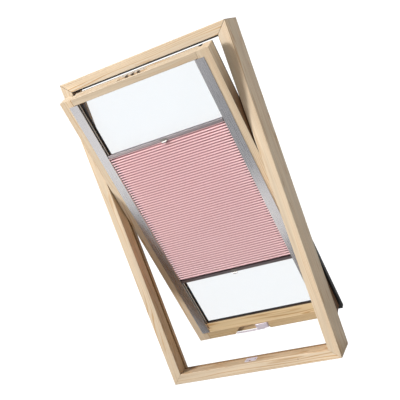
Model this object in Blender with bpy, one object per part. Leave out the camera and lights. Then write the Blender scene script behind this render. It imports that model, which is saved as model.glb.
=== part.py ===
"""Pivoting roof window with a pleated blind guided in its sash.

Metres, +Z up, X across the window, -Y the room side. The origin is the middle of the
underside of the frame's sill. The sash is parented to an empty on its pivot axis, which is
turned by the angle at which the sash stands open.
"""
import math

import bmesh
import bpy
from mathutils import Vector

# Frame, seen from the room
FRAME_WIDTH = 0.780
FRAME_HEIGHT = 1.398
FRAME_DEPTH = 0.130
FACE_WIDTH = 0.045
STEP_DEPTH = 0.064
WEB_THICKNESS = 0.015
ROOM_FACE = -FRAME_DEPTH / 2
TOUCH = 0.0003
EDGE_RADIUS = 0.002

# Seals in a groove of the frame's inner faces, depths from the room face
GROOVE = (0.0555, 0.0585)
GROOVE_DEPTH = 0.005
SEAL_BAND = (0.0520, 0.0625)
LINING_BAND = (0.006, 0.0625)
SEAL_HEAD_SILL = 0.0020
SEAL_JAMB = 0.0025

# Sash
SIDE_GAP = 0.004
END_GAP = 0.0035
PIVOT_DEPTH = 0.0338
PIVOT_HEIGHT = 0.9293
OPEN_ANGLE = math.radians(17.35)
SASH_HALF = FRAME_WIDTH / 2 - FACE_WIDTH - SIDE_GAP
SASH_TOP = FRAME_HEIGHT - FACE_WIDTH - END_GAP - PIVOT_HEIGHT
SASH_BOTTOM = FACE_WIDTH + END_GAP - PIVOT_HEIGHT
STILE_WIDTH = 0.055
HEAD_HEIGHT = 0.029
SILL_HEIGHT = 0.040
SASH_DEPTH = 0.0645
LIP_DEPTH = 0.0435
SILL_RISE = 0.0185
GLASS_REBATE = 0.017
STILE_INNER = SASH_HALF - STILE_WIDTH
HEAD_INNER = SASH_TOP - HEAD_HEIGHT
SILL_INNER = SASH_BOTTOM + SILL_HEIGHT
TENON = (0.030, 0.012, 0.020)

# Insulating glass unit, depths from the sash's room face
PANE = 0.003
CAVITY = 0.009
INNER_PANE = 0.0475
OUTER_PANE = INNER_PANE + PANE + CAVITY
GLASS_HALF = 0.300
GLASS_TOP = 0.4040
GLASS_BOTTOM = -0.8360
GASKET_WIDTH = 0.0185
GASKET_SIGHT = 0.003
SPACER_INSET = 0.0065
SPACER_WIDTH = 0.010

# Sash covers, sheet metal over the outer side
SHEET = 0.0015
COVER_BACK = SASH_DEPTH + TOUCH
COVER_WIDTH = 0.0478
HEAD_COVER_WIDTH = 0.0285
SILL_COVER_WIDTH = 0.0505
COVER_SKIRT = 0.0600
COVER_SPLIT = -0.462
COVER_GAP = 0.002
RAISED_FACE = 0.088
OVERHANG = 0.0105
RIDGE = 0.030
HEM = 0.024
FOOT = 0.0195

# Pivot hinges
PIN_RADIUS = 0.006
PIN_CLEARANCE = 0.0003
PIN_REACH = 0.018
PLATE = 0.003
FRAME_PLATE = (0.030, 0.120)
SASH_PLATE = (0.030, 0.100)

# Handle and latch at the foot of the sash
POCKET = (-0.154, 0.0235)
POCKET_TOP = 0.005
POCKET_DEPTH = 0.030
POCKET_SLANT = 0.036
HUB = (-0.011, 0.009)
HUB_RADIUS = 0.0115
SPINDLE_RADIUS = 0.004
SPINDLE_CLEARANCE = 0.0004
CASE_WIDTH = 0.063
CASE_FRONT = -0.003
CASE_CORNER = 0.009
CASE_RISE = 0.0056
LEVER_START = 0.0006
LEVER_HEIGHT = 0.0046
LEVER_BAR = 0.0075
LEVER_END = -0.147
TONGUE = (0.010, 0.006)
TONGUE_DEPTH = 0.0245
TONGUE_LENGTH = 0.024
TONGUE_PROUD = 0.0025
STRIKE = (0.054, 0.036)
STRIKE_CENTRE = (-0.0085, 0.0325)
STRIKE_HOLES = 0.019
STRIKE_THICKNESS = 0.002

# Keeper plate on top of the sash
NOTCH = (-0.067, 0.070)
NOTCH_RIM = 0.006
NOTCH_DEPTH = 0.031
NOTCH_DROP = 0.010
KEEPER = (0.112, 0.019)
KEEPER_THICKNESS = 0.002
KEEPER_HOLES = (-0.029, 0.002, 0.022)

# Blind: fixed side rails, two moving rails and the pleated cloth
RAIL_OUTER = 0.309
RAIL_INNER = 0.270
RAIL_FRONT = -0.0015
RAIL_WALL = 0.0012
CHANNEL_BACK = 0.018
SLOT = (0.0025, 0.0115)
MOVING_RAIL = (0.015, 0.0142)
MOVING_RAIL_FRONT = -0.001
MOVING_RAIL_HALF = 0.2665
GLIDER_PLATE = 0.0022
TOP_RAIL_HEIGHT = 0.1372
BOTTOM_RAIL_HEIGHT = -0.5380
CORD_RADIUS = 0.0007
CORD_PLACE = (0.2775, 0.0070)
TAB_WIDTH = 0.034
TAB_THICKNESS = 0.0022
PLEATS = 58
PLEAT_DEPTH = 0.012
CLOTH_HALF = 0.2675
CLOTH_FRONT = 0.0008
CLOTH_THICKNESS = 0.0004

# Colours as sRGB hex
PINE = "E2C9A6"
RUBBER = "2A211B"
BROWN_RUBBER = "8A6846"
DARK_METAL = "26272A"
STEEL = "C9C8C9"
ALUMINIUM = "A9AAB2"
GLASS = "E6F1F2"
SPACER_GREY = "55575A"
GLIDER_GREY = "6C6D72"
TAB_GREY = "C6C9CB"
CLOTH = "E0AEB4"
CORD_GREY = "B5B3B0"


def clear_scene():
    """Remove every object that the file opened with."""
    for item in list(bpy.data.objects):
        bpy.data.objects.remove(item, do_unlink=True)


def linear(channel):
    """Turn one sRGB channel, 0 to 1, into a linear value."""
    if channel <= 0.04045:
        return channel / 12.92
    return ((channel + 0.055) / 1.055) ** 2.4


def finish(name, colour, roughness, metallic=0.0, alpha=1.0):
    """Make a Principled material from an sRGB hex colour."""
    made = bpy.data.materials.new(name)
    made.use_nodes = True
    shader = made.node_tree.nodes["Principled BSDF"]
    rgb = [linear(int(colour[i:i + 2], 16) / 255) for i in (0, 2, 4)]
    shader.inputs["Base Color"].default_value = (*rgb, 1.0)
    shader.inputs["Roughness"].default_value = roughness
    shader.inputs["Metallic"].default_value = metallic
    shader.inputs["Alpha"].default_value = alpha
    made.diffuse_color = (*rgb, alpha)
    made.roughness = roughness
    made.metallic = metallic
    return made


def add_empty(name, location, parent=None, tilt=0.0):
    """Add an empty that marks an axis, turned about X by tilt."""
    empty = bpy.data.objects.new(name, None)
    empty.empty_display_size = 0.05
    empty.location = location
    empty.rotation_euler = (tilt, 0.0, 0.0)
    empty.parent = parent
    bpy.context.collection.objects.link(empty)
    return empty


def add_mesh(name, shape, look, parent=None, origin=(0.0, 0.0, 0.0)):
    """Link a bmesh as an object whose origin is at a point of its parent's space."""
    bmesh.ops.remove_doubles(shape, verts=shape.verts, dist=1e-6)
    bmesh.ops.recalc_face_normals(shape, faces=shape.faces)
    bmesh.ops.translate(shape, verts=shape.verts, vec=-Vector(origin))
    mesh = bpy.data.meshes.new(name)
    shape.to_mesh(mesh)
    shape.free()
    made = bpy.data.objects.new(name, mesh)
    made.location = origin
    made.parent = parent
    if look is not None:
        mesh.materials.append(look)
    bpy.context.collection.objects.link(made)
    return made


def add_cutter(name, shape, parent=None):
    """Link a bmesh as a hidden shape for a Boolean."""
    cutter = add_mesh(name, shape, None, parent)
    cutter.hide_render = True
    cutter.display_type = "WIRE"
    return cutter


def boolean(target, tool, operation="DIFFERENCE"):
    """Cut or join target by a hidden shape."""
    step = target.modifiers.new(tool.name, "BOOLEAN")
    step.operation = operation
    step.solver = "EXACT"
    step.object = tool


def loft(rings):
    """Close a skin over rings of equal point counts, with a cap at either end."""
    shape = bmesh.new()
    rows = [[shape.verts.new(point) for point in ring] for ring in rings]
    count = len(rows[0])
    for low, high in zip(rows, rows[1:]):
        for i in range(count):
            j = (i + 1) % count
            shape.faces.new((low[i], low[j], high[j], high[i]))
    shape.faces.new(list(reversed(rows[0])))
    shape.faces.new(rows[-1])
    return shape


def box(low, high):
    """Give a block between two opposite corners."""
    (x0, y0, z0), (x1, y1, z1) = low, high
    outline = [(x0, y0), (x1, y0), (x1, y1), (x0, y1)]
    return loft([[(x, y, z) for x, y in outline] for z in (z0, z1)])


def cylinder(centre, radius, start, end, axis="Z", sides=24):
    """Give a closed cylinder along one axis of its parent's space."""
    rings = []
    for along in (start, end):
        ring = []
        for i in range(sides):
            angle = 2 * math.pi * (i + 0.5) / sides
            a = centre[0] + radius * math.cos(angle)
            b = centre[1] + radius * math.sin(angle)
            ring.append({"X": (along, a, b), "Y": (a, along, b), "Z": (a, b, along)}[axis])
        rings.append(ring)
    return loft(rings)


def revolve(centre, outline, sides=28):
    """Turn an outline of (radius, height) about a vertical axis through centre."""
    shape = bmesh.new()
    rows = []
    for radius, height in outline:
        row = []
        for i in range(sides):
            angle = 2 * math.pi * i / sides
            place = (centre[0] + radius * math.cos(angle), centre[1] + radius * math.sin(angle), height)
            row.append(shape.verts.new(place))
        rows.append(row)
    for low, high in zip(rows, rows[1:]):
        for i in range(sides):
            j = (i + 1) % sides
            shape.faces.new((low[i], low[j], high[j], high[i]))
    shape.faces.new(list(reversed(rows[0])))
    shape.faces.new(rows[-1])
    return shape


def rounded(points, radii, steps=3):
    """Replace the corners of an outline that have a radius with arcs."""
    result = []
    count = len(points)
    for i, corner in enumerate(points):
        radius = radii.get(i, 0.0)
        if radius <= 0:
            result.append(corner)
            continue
        here = Vector(corner)
        before = (Vector(points[i - 1]) - here).normalized()
        after = (Vector(points[(i + 1) % count]) - here).normalized()
        half = before.angle(after) / 2
        start = here + before * (radius / math.tan(half))
        end = here + after * (radius / math.tan(half))
        centre = here + (before + after).normalized() * (radius / math.sin(half))
        for k in range(steps + 1):
            blend = (start - centre).lerp(end - centre, k / steps)
            result.append(tuple(centre + blend.normalized() * radius))
    return result


def rounded_box(low, high, radius, axis="Z"):
    """Give a block whose edges along one axis are rounded."""
    order = {"X": (1, 2, 0), "Y": (0, 2, 1), "Z": (0, 1, 2)}[axis]
    a, b, c = order
    outline = [(low[a], low[b]), (high[a], low[b]), (high[a], high[b]), (low[a], high[b])]
    outline = rounded(outline, {i: radius for i in range(4)})
    rings = []
    for along in (low[c], high[c]):
        ring = []
        for p, q in outline:
            point = [0.0, 0.0, 0.0]
            point[a], point[b], point[c] = p, q, along
            ring.append(tuple(point))
        rings.append(ring)
    return loft(rings)


def folded(points, thickness):
    """Give the closed outline of a bent sheet whose one face follows points.

    The sheet lies on the left of the direction in which the points run.
    """
    line = [Vector(point) for point in points]
    normals = []
    for here, there in zip(line, line[1:]):
        along = (there - here).normalized()
        normals.append(Vector((-along.y, along.x)))
    other = [line[0] + normals[0] * thickness]
    for point, before, after in zip(line[1:-1], normals, normals[1:]):
        bisector = (before + after).normalized()
        other.append(point + bisector * (thickness / bisector.dot(before)))
    other.append(line[-1] + normals[-1] * thickness)
    return [tuple(point) for point in line + other[::-1]]


class Rectangle:
    """A rectangle of bars seen from the room: half width, bottom, top and room-side depth."""

    def __init__(self, half, bottom, top, room_face):
        self.half = half
        self.bottom = bottom
        self.top = top
        self.room_face = room_face

    def bar(self, side, profile, start=None, end=None):
        """Run a profile of (inward, depth) along one side.

        The ends are cut at 45 degrees on the corners' mitres, or square at a given
        start or end, which is measured along the bar in the parent's space.
        """
        upright = side in ("left", "right")
        low = self.bottom if upright else -self.half
        high = self.top if upright else self.half
        first = []
        last = []
        for inward, depth in profile:
            from_low = low + inward + TOUCH / 2 if start is None else start
            to_high = high - inward - TOUCH / 2 if end is None else end
            first.append(self.place(side, inward, depth, from_low))
            last.append(self.place(side, inward, depth, to_high))
        return loft([first, last])

    def place(self, side, inward, depth, along):
        """Give the point of a side's profile at a distance along the bar."""
        y = self.room_face + depth
        if side == "left":
            return (-self.half + inward, y, along)
        if side == "right":
            return (self.half - inward, y, along)
        if side == "head":
            return (along, y, self.top - inward)
        return (along, y, self.bottom + inward)


FRAME = Rectangle(FRAME_WIDTH / 2, 0.0, FRAME_HEIGHT, ROOM_FACE)
SASH = Rectangle(SASH_HALF, SASH_BOTTOM, SASH_TOP, -PIVOT_DEPTH)
GASKET = Rectangle(STILE_INNER - GASKET_SIGHT + GASKET_WIDTH, SILL_INNER + 0.003, HEAD_INNER
                   - GASKET_SIGHT + GASKET_WIDTH, -PIVOT_DEPTH)
SPACER = Rectangle(GLASS_HALF - SPACER_INSET, GLASS_BOTTOM + SPACER_INSET, GLASS_TOP - SPACER_INSET,
                   -PIVOT_DEPTH)


def frame_profile():
    """Give the stepped section that the frame's four members share."""
    low, high = GROOVE
    outline = [
        (0.0, 0.0), (FACE_WIDTH, 0.0), (FACE_WIDTH, low), (FACE_WIDTH - GROOVE_DEPTH, low),
        (FACE_WIDTH - GROOVE_DEPTH, high), (FACE_WIDTH, high), (FACE_WIDTH, STEP_DEPTH),
        (WEB_THICKNESS, STEP_DEPTH), (WEB_THICKNESS, FRAME_DEPTH), (0.0, FRAME_DEPTH)]
    return rounded(outline, {0: EDGE_RADIUS, 1: EDGE_RADIUS, 6: 0.001})


def build_frame(wood):
    """Make the mitred frame and cut its hinge pockets and the latch pocket."""
    profile = frame_profile()
    for side, name in (("head", "frame_head"), ("sill", "frame_sill"),
                       ("left", "frame_jamb_left"), ("right", "frame_jamb_right")):
        member = add_mesh(name, FRAME.bar(side, profile), wood)
        if side == "sill":
            boolean(member, add_cutter("strike_pocket", strike_pocket()))
            boolean(member, add_cutter("tongue_pocket", tongue_pocket()))
        elif side != "head":
            sign = -1 if side == "left" else 1
            boolean(member, add_cutter(f"frame_hinge_pocket_{side}", frame_hinge_pocket(sign)))


def seal_profile(band, proud):
    """Give a seal's section: a flat band on the face and a barb in the groove."""
    low, high = GROOVE
    face = FACE_WIDTH + TOUCH
    root = FACE_WIDTH - GROOVE_DEPTH + 0.0006
    top = FACE_WIDTH + proud
    return rounded([
        (face, band[0]), (top, band[0]), (top, band[1]), (face, band[1]),
        (face, high - TOUCH), (root, high - 2 * TOUCH), (root, low + 2 * TOUCH),
        (face, low + TOUCH)], {1: 0.0008, 2: 0.0008}, steps=2)


def build_seals(rubber, brown_rubber):
    """Make the seals: wide dark ones above the pivot hinges, slim brown ones below them."""
    clear = FRAME_PLATE[1] / 2 + 0.004
    slim = seal_profile(SEAL_BAND, SEAL_JAMB)
    wide = seal_profile(LINING_BAND, SEAL_JAMB)
    lining = seal_profile(LINING_BAND, SEAL_HEAD_SILL)
    add_mesh("head_seal", FRAME.bar("head", lining), rubber)
    add_mesh("sill_seal", FRAME.bar("sill", seal_profile(SEAL_BAND, SEAL_HEAD_SILL)), brown_rubber)
    for side in ("left", "right"):
        upper = FRAME.bar(side, wide, start=PIVOT_HEIGHT + clear)
        add_mesh(f"upper_seal_{side}", trim_lining(upper), rubber)
        lower = FRAME.bar(side, slim, end=PIVOT_HEIGHT - clear)
        add_mesh(f"lower_seal_{side}", lower, brown_rubber)


def trim_lining(shape):
    """Draw the wide seal's upper end down from the head's slimmer seal."""
    limit = FRAME_HEIGHT - FACE_WIDTH - SEAL_HEAD_SILL - 0.001
    for vert in shape.verts:
        vert.co.z = min(vert.co.z, limit)
    return shape


def frame_hinge_pocket(sign):
    """Give the pocket in a jamb for the frame's hinge plate."""
    depth, height = FRAME_PLATE
    y = ROOM_FACE + PIVOT_DEPTH
    inner = FRAME_WIDTH / 2 - FACE_WIDTH
    reach = sorted((sign * (inner - 0.01), sign * (inner + PLATE)))
    return rounded_box((reach[0], y - depth / 2, PIVOT_HEIGHT - height / 2),
                       (reach[1], y + depth / 2, PIVOT_HEIGHT + height / 2), 0.006, "X")


def build_frame_hinges(steel):
    """Make the frame's hinge plates, each with the stud that the sash turns on."""
    depth, height = (size - 2 * TOUCH for size in FRAME_PLATE)
    y = ROOM_FACE + PIVOT_DEPTH
    inner = FRAME_WIDTH / 2 - FACE_WIDTH
    for side, sign in (("left", -1), ("right", 1)):
        reach = sorted((sign * (inner - TOUCH), sign * (inner + PLATE - TOUCH)))
        plate = rounded_box((reach[0], y - depth / 2, PIVOT_HEIGHT - height / 2),
                            (reach[1], y + depth / 2, PIVOT_HEIGHT + height / 2), 0.0055, "X")
        hinge = add_mesh(f"frame_hinge_{side}", plate, steel, origin=(0.0, y, PIVOT_HEIGHT))
        stud = cylinder((y, PIVOT_HEIGHT), PIN_RADIUS, sign * (inner + 0.001),
                        sign * (inner - PIN_REACH), "X")
        boolean(hinge, add_cutter(f"hinge_stud_{side}", stud), "UNION")


def strike_centre():
    """Give the latch plate's middle on the sill."""
    return STRIKE_CENTRE[0], ROOM_FACE + STRIKE_CENTRE[1]


def strike_pocket():
    """Give the shallow pocket for the latch plate."""
    x, y = strike_centre()
    across, deep = STRIKE
    return rounded_box((x - across / 2, y - deep / 2, FACE_WIDTH - STRIKE_THICKNESS),
                       (x + across / 2, y + deep / 2, FACE_WIDTH + 0.01), 0.004)


def tongue_pocket():
    """Give the deeper pocket that the latch tongue drops into."""
    x, y = tongue_centre()
    across, deep = (size + 0.004 for size in TONGUE)
    y += ROOM_FACE + PIVOT_DEPTH
    return rounded_box((x - across / 2, y - deep / 2, FACE_WIDTH - 0.014),
                       (x + across / 2, y + deep / 2, FACE_WIDTH + 0.01), 0.002)


def build_strike(steel):
    """Make the latch plate with its slot and two countersunk holes."""
    x, y = strike_centre()
    across, deep = (size - 2 * TOUCH for size in STRIKE)
    plate = rounded_box((x - across / 2, y - deep / 2, FACE_WIDTH - STRIKE_THICKNESS + TOUCH),
                        (x + across / 2, y + deep / 2, FACE_WIDTH + TOUCH), 0.0037)
    made = add_mesh("strike_plate", plate, steel)
    boolean(made, add_cutter("strike_slot", tongue_pocket()))
    for sign, name in ((-1, "left"), (1, "right")):
        hole = revolve((x + sign * STRIKE_HOLES, y),
                       [(0.0022, FACE_WIDTH - 0.01), (0.0022, FACE_WIDTH - 0.0008),
                        (0.0045, FACE_WIDTH + 0.0015), (0.0045, FACE_WIDTH + 0.01)], sides=20)
        boolean(made, add_cutter(f"strike_hole_{name}", hole))


def stile_profile():
    """Give a stile's section with its glass rebate."""
    outline = [
        (0.0, 0.0), (STILE_WIDTH, 0.0), (STILE_WIDTH, LIP_DEPTH),
        (STILE_WIDTH - GLASS_REBATE, LIP_DEPTH), (STILE_WIDTH - GLASS_REBATE, SASH_DEPTH),
        (0.0, SASH_DEPTH)]
    return rounded(outline, {0: EDGE_RADIUS, 1: EDGE_RADIUS})


def head_profile():
    """Give the section of the sash's top member, set back where the cover's skirt lies."""
    skirt = 2 * TOUCH + SHEET
    outline = [
        (0.0, 0.0), (HEAD_HEIGHT, 0.0), (HEAD_HEIGHT, LIP_DEPTH),
        (HEAD_HEIGHT - GLASS_REBATE, LIP_DEPTH), (HEAD_HEIGHT - GLASS_REBATE, SASH_DEPTH),
        (skirt, SASH_DEPTH), (skirt, COVER_SKIRT - TOUCH), (0.0, COVER_SKIRT - TOUCH)]
    return rounded(outline, {0: EDGE_RADIUS, 1: EDGE_RADIUS})


def skirt_seat(sign):
    """Give the step cut from a stile's outer back edge for the upper cover's skirt."""
    inner = sign * (SASH_HALF - SHEET - 2 * TOUCH)
    x0, x1 = sorted((inner, sign * (SASH_HALF + 0.01)))
    return box((x0, COVER_SKIRT - TOUCH - PIVOT_DEPTH, COVER_SPLIT),
               (x1, SASH_DEPTH + 0.01 - PIVOT_DEPTH, SASH_TOP + 0.01))


def sill_profile():
    """Give the section of the bottom member, whose upper face rises towards the glass."""
    top = SILL_HEIGHT + SILL_RISE
    outline = [
        (0.0, 0.0), (SILL_HEIGHT, 0.0), (top, LIP_DEPTH), (top - GLASS_REBATE, LIP_DEPTH),
        (top - GLASS_REBATE, SASH_DEPTH), (0.0, SASH_DEPTH)]
    return rounded(outline, {0: EDGE_RADIUS, 1: EDGE_RADIUS, 5: 0.001})


def tenon_shape(sign, height, grow=0.0):
    """Give a tenon at one end of a cross member, or its mortise with room all round."""
    length, thick, tall = TENON
    root = sign * (STILE_INNER - (0.002 if grow == 0 else 0.004))
    tip = sign * (STILE_INNER + length + grow)
    x0, x1 = sorted((root, tip))
    y = 0.020 - PIVOT_DEPTH
    return box((x0, y - thick / 2 - grow, height - tall / 2 - grow),
               (x1, y + thick / 2 + grow, height + tall / 2 + grow))


def build_sash_wood(wood, pivot):
    """Make the stiles and the tenoned cross members."""
    reach = STILE_INNER - TOUCH
    head = add_mesh("sash_head", SASH.bar("head", head_profile(), -reach, reach), wood, pivot)
    sill = add_mesh("sash_sill", SASH.bar("sill", sill_profile(), -reach, reach), wood, pivot)
    heights = {"head": SASH_TOP - HEAD_HEIGHT / 2, "sill": SASH_BOTTOM + SILL_HEIGHT / 2}
    for side, sign in (("left", -1), ("right", 1)):
        shape = SASH.bar(side, stile_profile(), SASH_BOTTOM, SASH_TOP)
        stile = add_mesh(f"sash_stile_{side}", shape, wood, pivot)
        for member, at in ((head, "head"), (sill, "sill")):
            tenon = add_cutter(f"{at}_tenon_{side}", tenon_shape(sign, heights[at]), pivot)
            boolean(member, tenon, "UNION")
            mortise = add_cutter(f"{at}_mortise_{side}", tenon_shape(sign, heights[at], TOUCH), pivot)
            boolean(stile, mortise)
        boolean(stile, add_cutter(f"skirt_seat_{side}", skirt_seat(sign), pivot))
        boolean(stile, add_cutter(f"sash_hinge_pocket_{side}", sash_hinge_pocket(sign), pivot))
        boolean(stile, add_cutter(f"stud_bore_{side}", stud_bore(sign), pivot))
    boolean(sill, add_cutter("handle_pocket", handle_pocket(), pivot))
    boolean(head, add_cutter("keeper_notch", keeper_notch(), pivot))
    boolean(head, add_cutter("keeper_pocket", keeper_pocket(), pivot))
    for index, hole in enumerate(keeper_holes()):
        boolean(head, add_cutter(f"keeper_well_{index}", hole, pivot))


def sash_hinge_pocket(sign):
    """Give the pocket in a stile for the sash's hinge plate."""
    deep, tall = SASH_PLATE
    reach = sorted((sign * (SASH_HALF - PLATE), sign * (SASH_HALF + 0.01)))
    return rounded_box((reach[0], -deep / 2, -tall / 2), (reach[1], deep / 2, tall / 2), 0.006, "X")


def stud_bore(sign):
    """Give the bore that the hinge stud reaches into."""
    end = FRAME_WIDTH / 2 - FACE_WIDTH - PIN_REACH - 0.002
    return cylinder((0.0, 0.0), PIN_RADIUS + 0.001, sign * SASH_HALF, sign * end, "X")


def build_sash_hinges(steel, pivot):
    """Make the sash's hinge plates, bored for the studs."""
    deep, tall = (size - 2 * TOUCH for size in SASH_PLATE)
    for side, sign in (("left", -1), ("right", 1)):
        reach = sorted((sign * (SASH_HALF - PLATE + TOUCH), sign * (SASH_HALF + TOUCH)))
        plate = rounded_box((reach[0], -deep / 2, -tall / 2), (reach[1], deep / 2, tall / 2),
                            0.0055, "X")
        hinge = add_mesh(f"sash_hinge_{side}", plate, steel, pivot)
        bore = cylinder((0.0, 0.0), PIN_RADIUS + PIN_CLEARANCE, sign * (SASH_HALF - 0.01),
                        sign * (SASH_HALF + 0.01), "X")
        boolean(hinge, add_cutter(f"sash_hinge_bore_{side}", bore, pivot))


def build_glazing(glass, spacer_metal, rubber, pivot):
    """Make the two panes, the spacer between them and the gasket on the room side."""
    for name, depth in (("inner_pane", INNER_PANE), ("outer_pane", OUTER_PANE)):
        low = (-GLASS_HALF, depth - PIVOT_DEPTH, GLASS_BOTTOM)
        high = (GLASS_HALF, depth + PANE - PIVOT_DEPTH, GLASS_TOP)
        add_mesh(name, box(low, high), glass, pivot)
    gap = (INNER_PANE + PANE + TOUCH, OUTER_PANE - TOUCH)
    tube = [(0.0, gap[0]), (SPACER_WIDTH, gap[0]), (SPACER_WIDTH, gap[1]), (0.0, gap[1])]
    strip = [
        (0.0, LIP_DEPTH + TOUCH), (GASKET_WIDTH - 0.001, LIP_DEPTH + TOUCH),
        (GASKET_WIDTH, LIP_DEPTH + 0.0015), (GASKET_WIDTH, INNER_PANE - TOUCH),
        (0.0, INNER_PANE - TOUCH)]
    for side in ("head", "sill", "left", "right"):
        add_mesh(f"spacer_{side}", SPACER.bar(side, tube), spacer_metal, pivot)
        add_mesh(f"gasket_{side}", GASKET.bar(side, strip), rubber, pivot)


def flat_cover(width):
    """Give a flat cover's section: a skirt on the wood, a face and a lip on the glass."""
    back = COVER_BACK
    return folded([(TOUCH + SHEET, COVER_SKIRT), (TOUCH + SHEET, back), (width - SHEET, back),
                   (width - SHEET, OUTER_PANE + PANE + TOUCH)], SHEET)


def raised_cover(width):
    """Give a raised cover's section: a hollow ridge over the sash's edge, a face and a lip."""
    outer = SHEET - OVERHANG
    top = RAISED_FACE - SHEET
    return folded([(HEM, COVER_BACK + SHEET), (outer, COVER_BACK + SHEET), (outer, top),
                   (RIDGE - SHEET, top), (RIDGE - SHEET, COVER_BACK), (width - SHEET, COVER_BACK),
                   (width - SHEET, OUTER_PANE + PANE + TOUCH)], SHEET)


def foot_notch(side):
    """Give the notch in a lower cover's lip, which lets its foot pass over the frame's sill."""
    sign = -1 if side == "left" else 1
    inner = SASH_HALF - COVER_WIDTH
    reach = sorted((sign * (inner - 0.002), sign * (inner + 0.004)))
    return box((reach[0], LIP_DEPTH - PIVOT_DEPTH, SASH_BOTTOM - FOOT - 0.01),
               (reach[1], COVER_BACK - PIVOT_DEPTH, SASH_BOTTOM + COVER_GAP))


def build_sash_covers(metal, pivot):
    """Make the sheet covers: flush above the pivot, raised and overhanging below it."""
    reach = SASH_HALF - COVER_WIDTH - TOUCH
    foot = SASH_BOTTOM - FOOT
    head = SASH.bar("head", flat_cover(HEAD_COVER_WIDTH), -reach, reach)
    sill = SASH.bar("sill", raised_cover(SILL_COVER_WIDTH), -reach, reach)
    add_mesh("sash_cover_head", head, metal, pivot)
    add_mesh("sash_cover_sill", sill, metal, pivot)
    for side in ("left", "right"):
        upper = SASH.bar(side, flat_cover(COVER_WIDTH), COVER_SPLIT + COVER_GAP, SASH_TOP)
        add_mesh(f"sash_cover_upper_{side}", upper, metal, pivot)
        lower = SASH.bar(side, raised_cover(COVER_WIDTH), foot, COVER_SPLIT)
        cover = add_mesh(f"sash_cover_lower_{side}", lower, metal, pivot)
        boolean(cover, add_cutter(f"foot_notch_{side}", foot_notch(side), pivot))


def handle_pocket():
    """Give the finger pocket in the bottom member, open to the front and below."""
    top = SILL_INNER - POCKET_TOP
    low = SASH_BOTTOM - 0.01
    outline = [(POCKET[0], low), (POCKET[1], low), (POCKET[1], top), (POCKET[0] + POCKET_SLANT, top),
               (POCKET[0], SASH_BOTTOM)]
    outline = rounded(outline, {2: 0.004, 3: 0.008})
    depths = (-0.01 - PIVOT_DEPTH, POCKET_DEPTH - PIVOT_DEPTH)
    return loft([[(x, y, z) for x, z in outline] for y in depths])


def tongue_centre():
    """Give the latch tongue's middle as (x, depth from the pivot plane)."""
    return HUB[0], TONGUE_DEPTH - PIVOT_DEPTH


def case_heights():
    """Give the lock case's lower and upper ends."""
    return SASH_BOTTOM + CASE_RISE, SILL_INNER - POCKET_TOP - 2 * TOUCH


def build_handle_case(steel, pivot):
    """Make the lock case, bored for the lever's spindle and slotted for the tongue."""
    x, depth = HUB
    y = depth - PIVOT_DEPTH
    low, high = case_heights()
    back = POCKET_DEPTH - TOUCH - PIVOT_DEPTH
    front = CASE_FRONT - PIVOT_DEPTH
    half = CASE_WIDTH / 2
    outline = rounded([(x - half, front), (x + half, front), (x + half, back), (x - half, back)],
                      {0: CASE_CORNER, 1: CASE_CORNER, 2: 0.001, 3: 0.001}, steps=6)
    soft = 0.0008
    shrunk = [(x + (a - x) * (1 - soft / half), b + (soft if b < y else 0.0)) for a, b in outline]
    rings = [[(a, b, z) for a, b in ring] for ring, z in
             ((shrunk, low), (outline, low + soft), (outline, high - soft), (shrunk, high))]
    case = add_mesh("handle_case", loft(rings), steel, pivot)
    bore = cylinder((x, y), SPINDLE_RADIUS + SPINDLE_CLEARANCE, low - 0.01, high + 0.01, sides=20)
    boolean(case, add_cutter("handle_bore", bore, pivot))
    tx, ty = tongue_centre()
    across, deep = (size / 2 + TOUCH for size in TONGUE)
    guide = box((tx - across, ty - deep, low - 0.01), (tx + across, ty + deep, high + 0.01))
    boolean(case, add_cutter("tongue_guide", guide, pivot))
    for sign, name in ((-1, "left"), (1, "right")):
        hole = cylinder((x + sign * 0.021, (low + high) / 2), 0.0021, front - 0.01, back + 0.01,
                        "Y", sides=16)
        boolean(case, add_cutter(f"case_hole_{name}", hole, pivot))


def build_lever(steel, pivot):
    """Make the pull lever: a hub with a spindle and a slim bar along the pocket."""
    x, depth = HUB
    low = SASH_BOTTOM + LEVER_START
    top = case_heights()[1] - low - 0.001
    axis = add_empty("handle_axis", (x, depth - PIVOT_DEPTH, low), pivot)
    soft = 0.0010
    outline = [(HUB_RADIUS - soft, 0.0), (HUB_RADIUS, soft), (HUB_RADIUS, LEVER_HEIGHT - soft),
               (HUB_RADIUS - soft, LEVER_HEIGHT), (SPINDLE_RADIUS, LEVER_HEIGHT),
               (SPINDLE_RADIUS, top)]
    made = add_mesh("handle_lever", revolve((0.0, 0.0), outline), steel, axis)
    boolean(made, add_cutter("lever_bar", lever_bar(), axis), "UNION")


def lever_bar():
    """Give the bar, which bows out gently and thins to a rounded end."""
    start = 0.004
    end = HUB[0] - LEVER_END
    stations = 12
    inset = 0.00005
    rings = []
    for i in range(stations + 1):
        t = i / stations
        x = -(start + (end - start) * t)
        middle = -0.0055 - 0.0020 * math.sin(math.pi * t)
        taper = math.sqrt(max(0.0, 1 - max(0.0, (t - 0.86) / 0.16) ** 2))
        half_y = LEVER_BAR / 2 * (0.55 + 0.45 * taper)
        height = (LEVER_HEIGHT - 2 * inset) * (0.35 + 0.65 * taper)
        base = (LEVER_HEIGHT - height) / 2
        outline = [(middle - half_y, base), (middle + half_y, base),
                   (middle + half_y, base + height), (middle - half_y, base + height)]
        outline = rounded(outline, {k: height * 0.3 for k in range(4)}, steps=2)
        rings.append([(x, y, z) for y, z in outline])
    return loft(rings)


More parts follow.
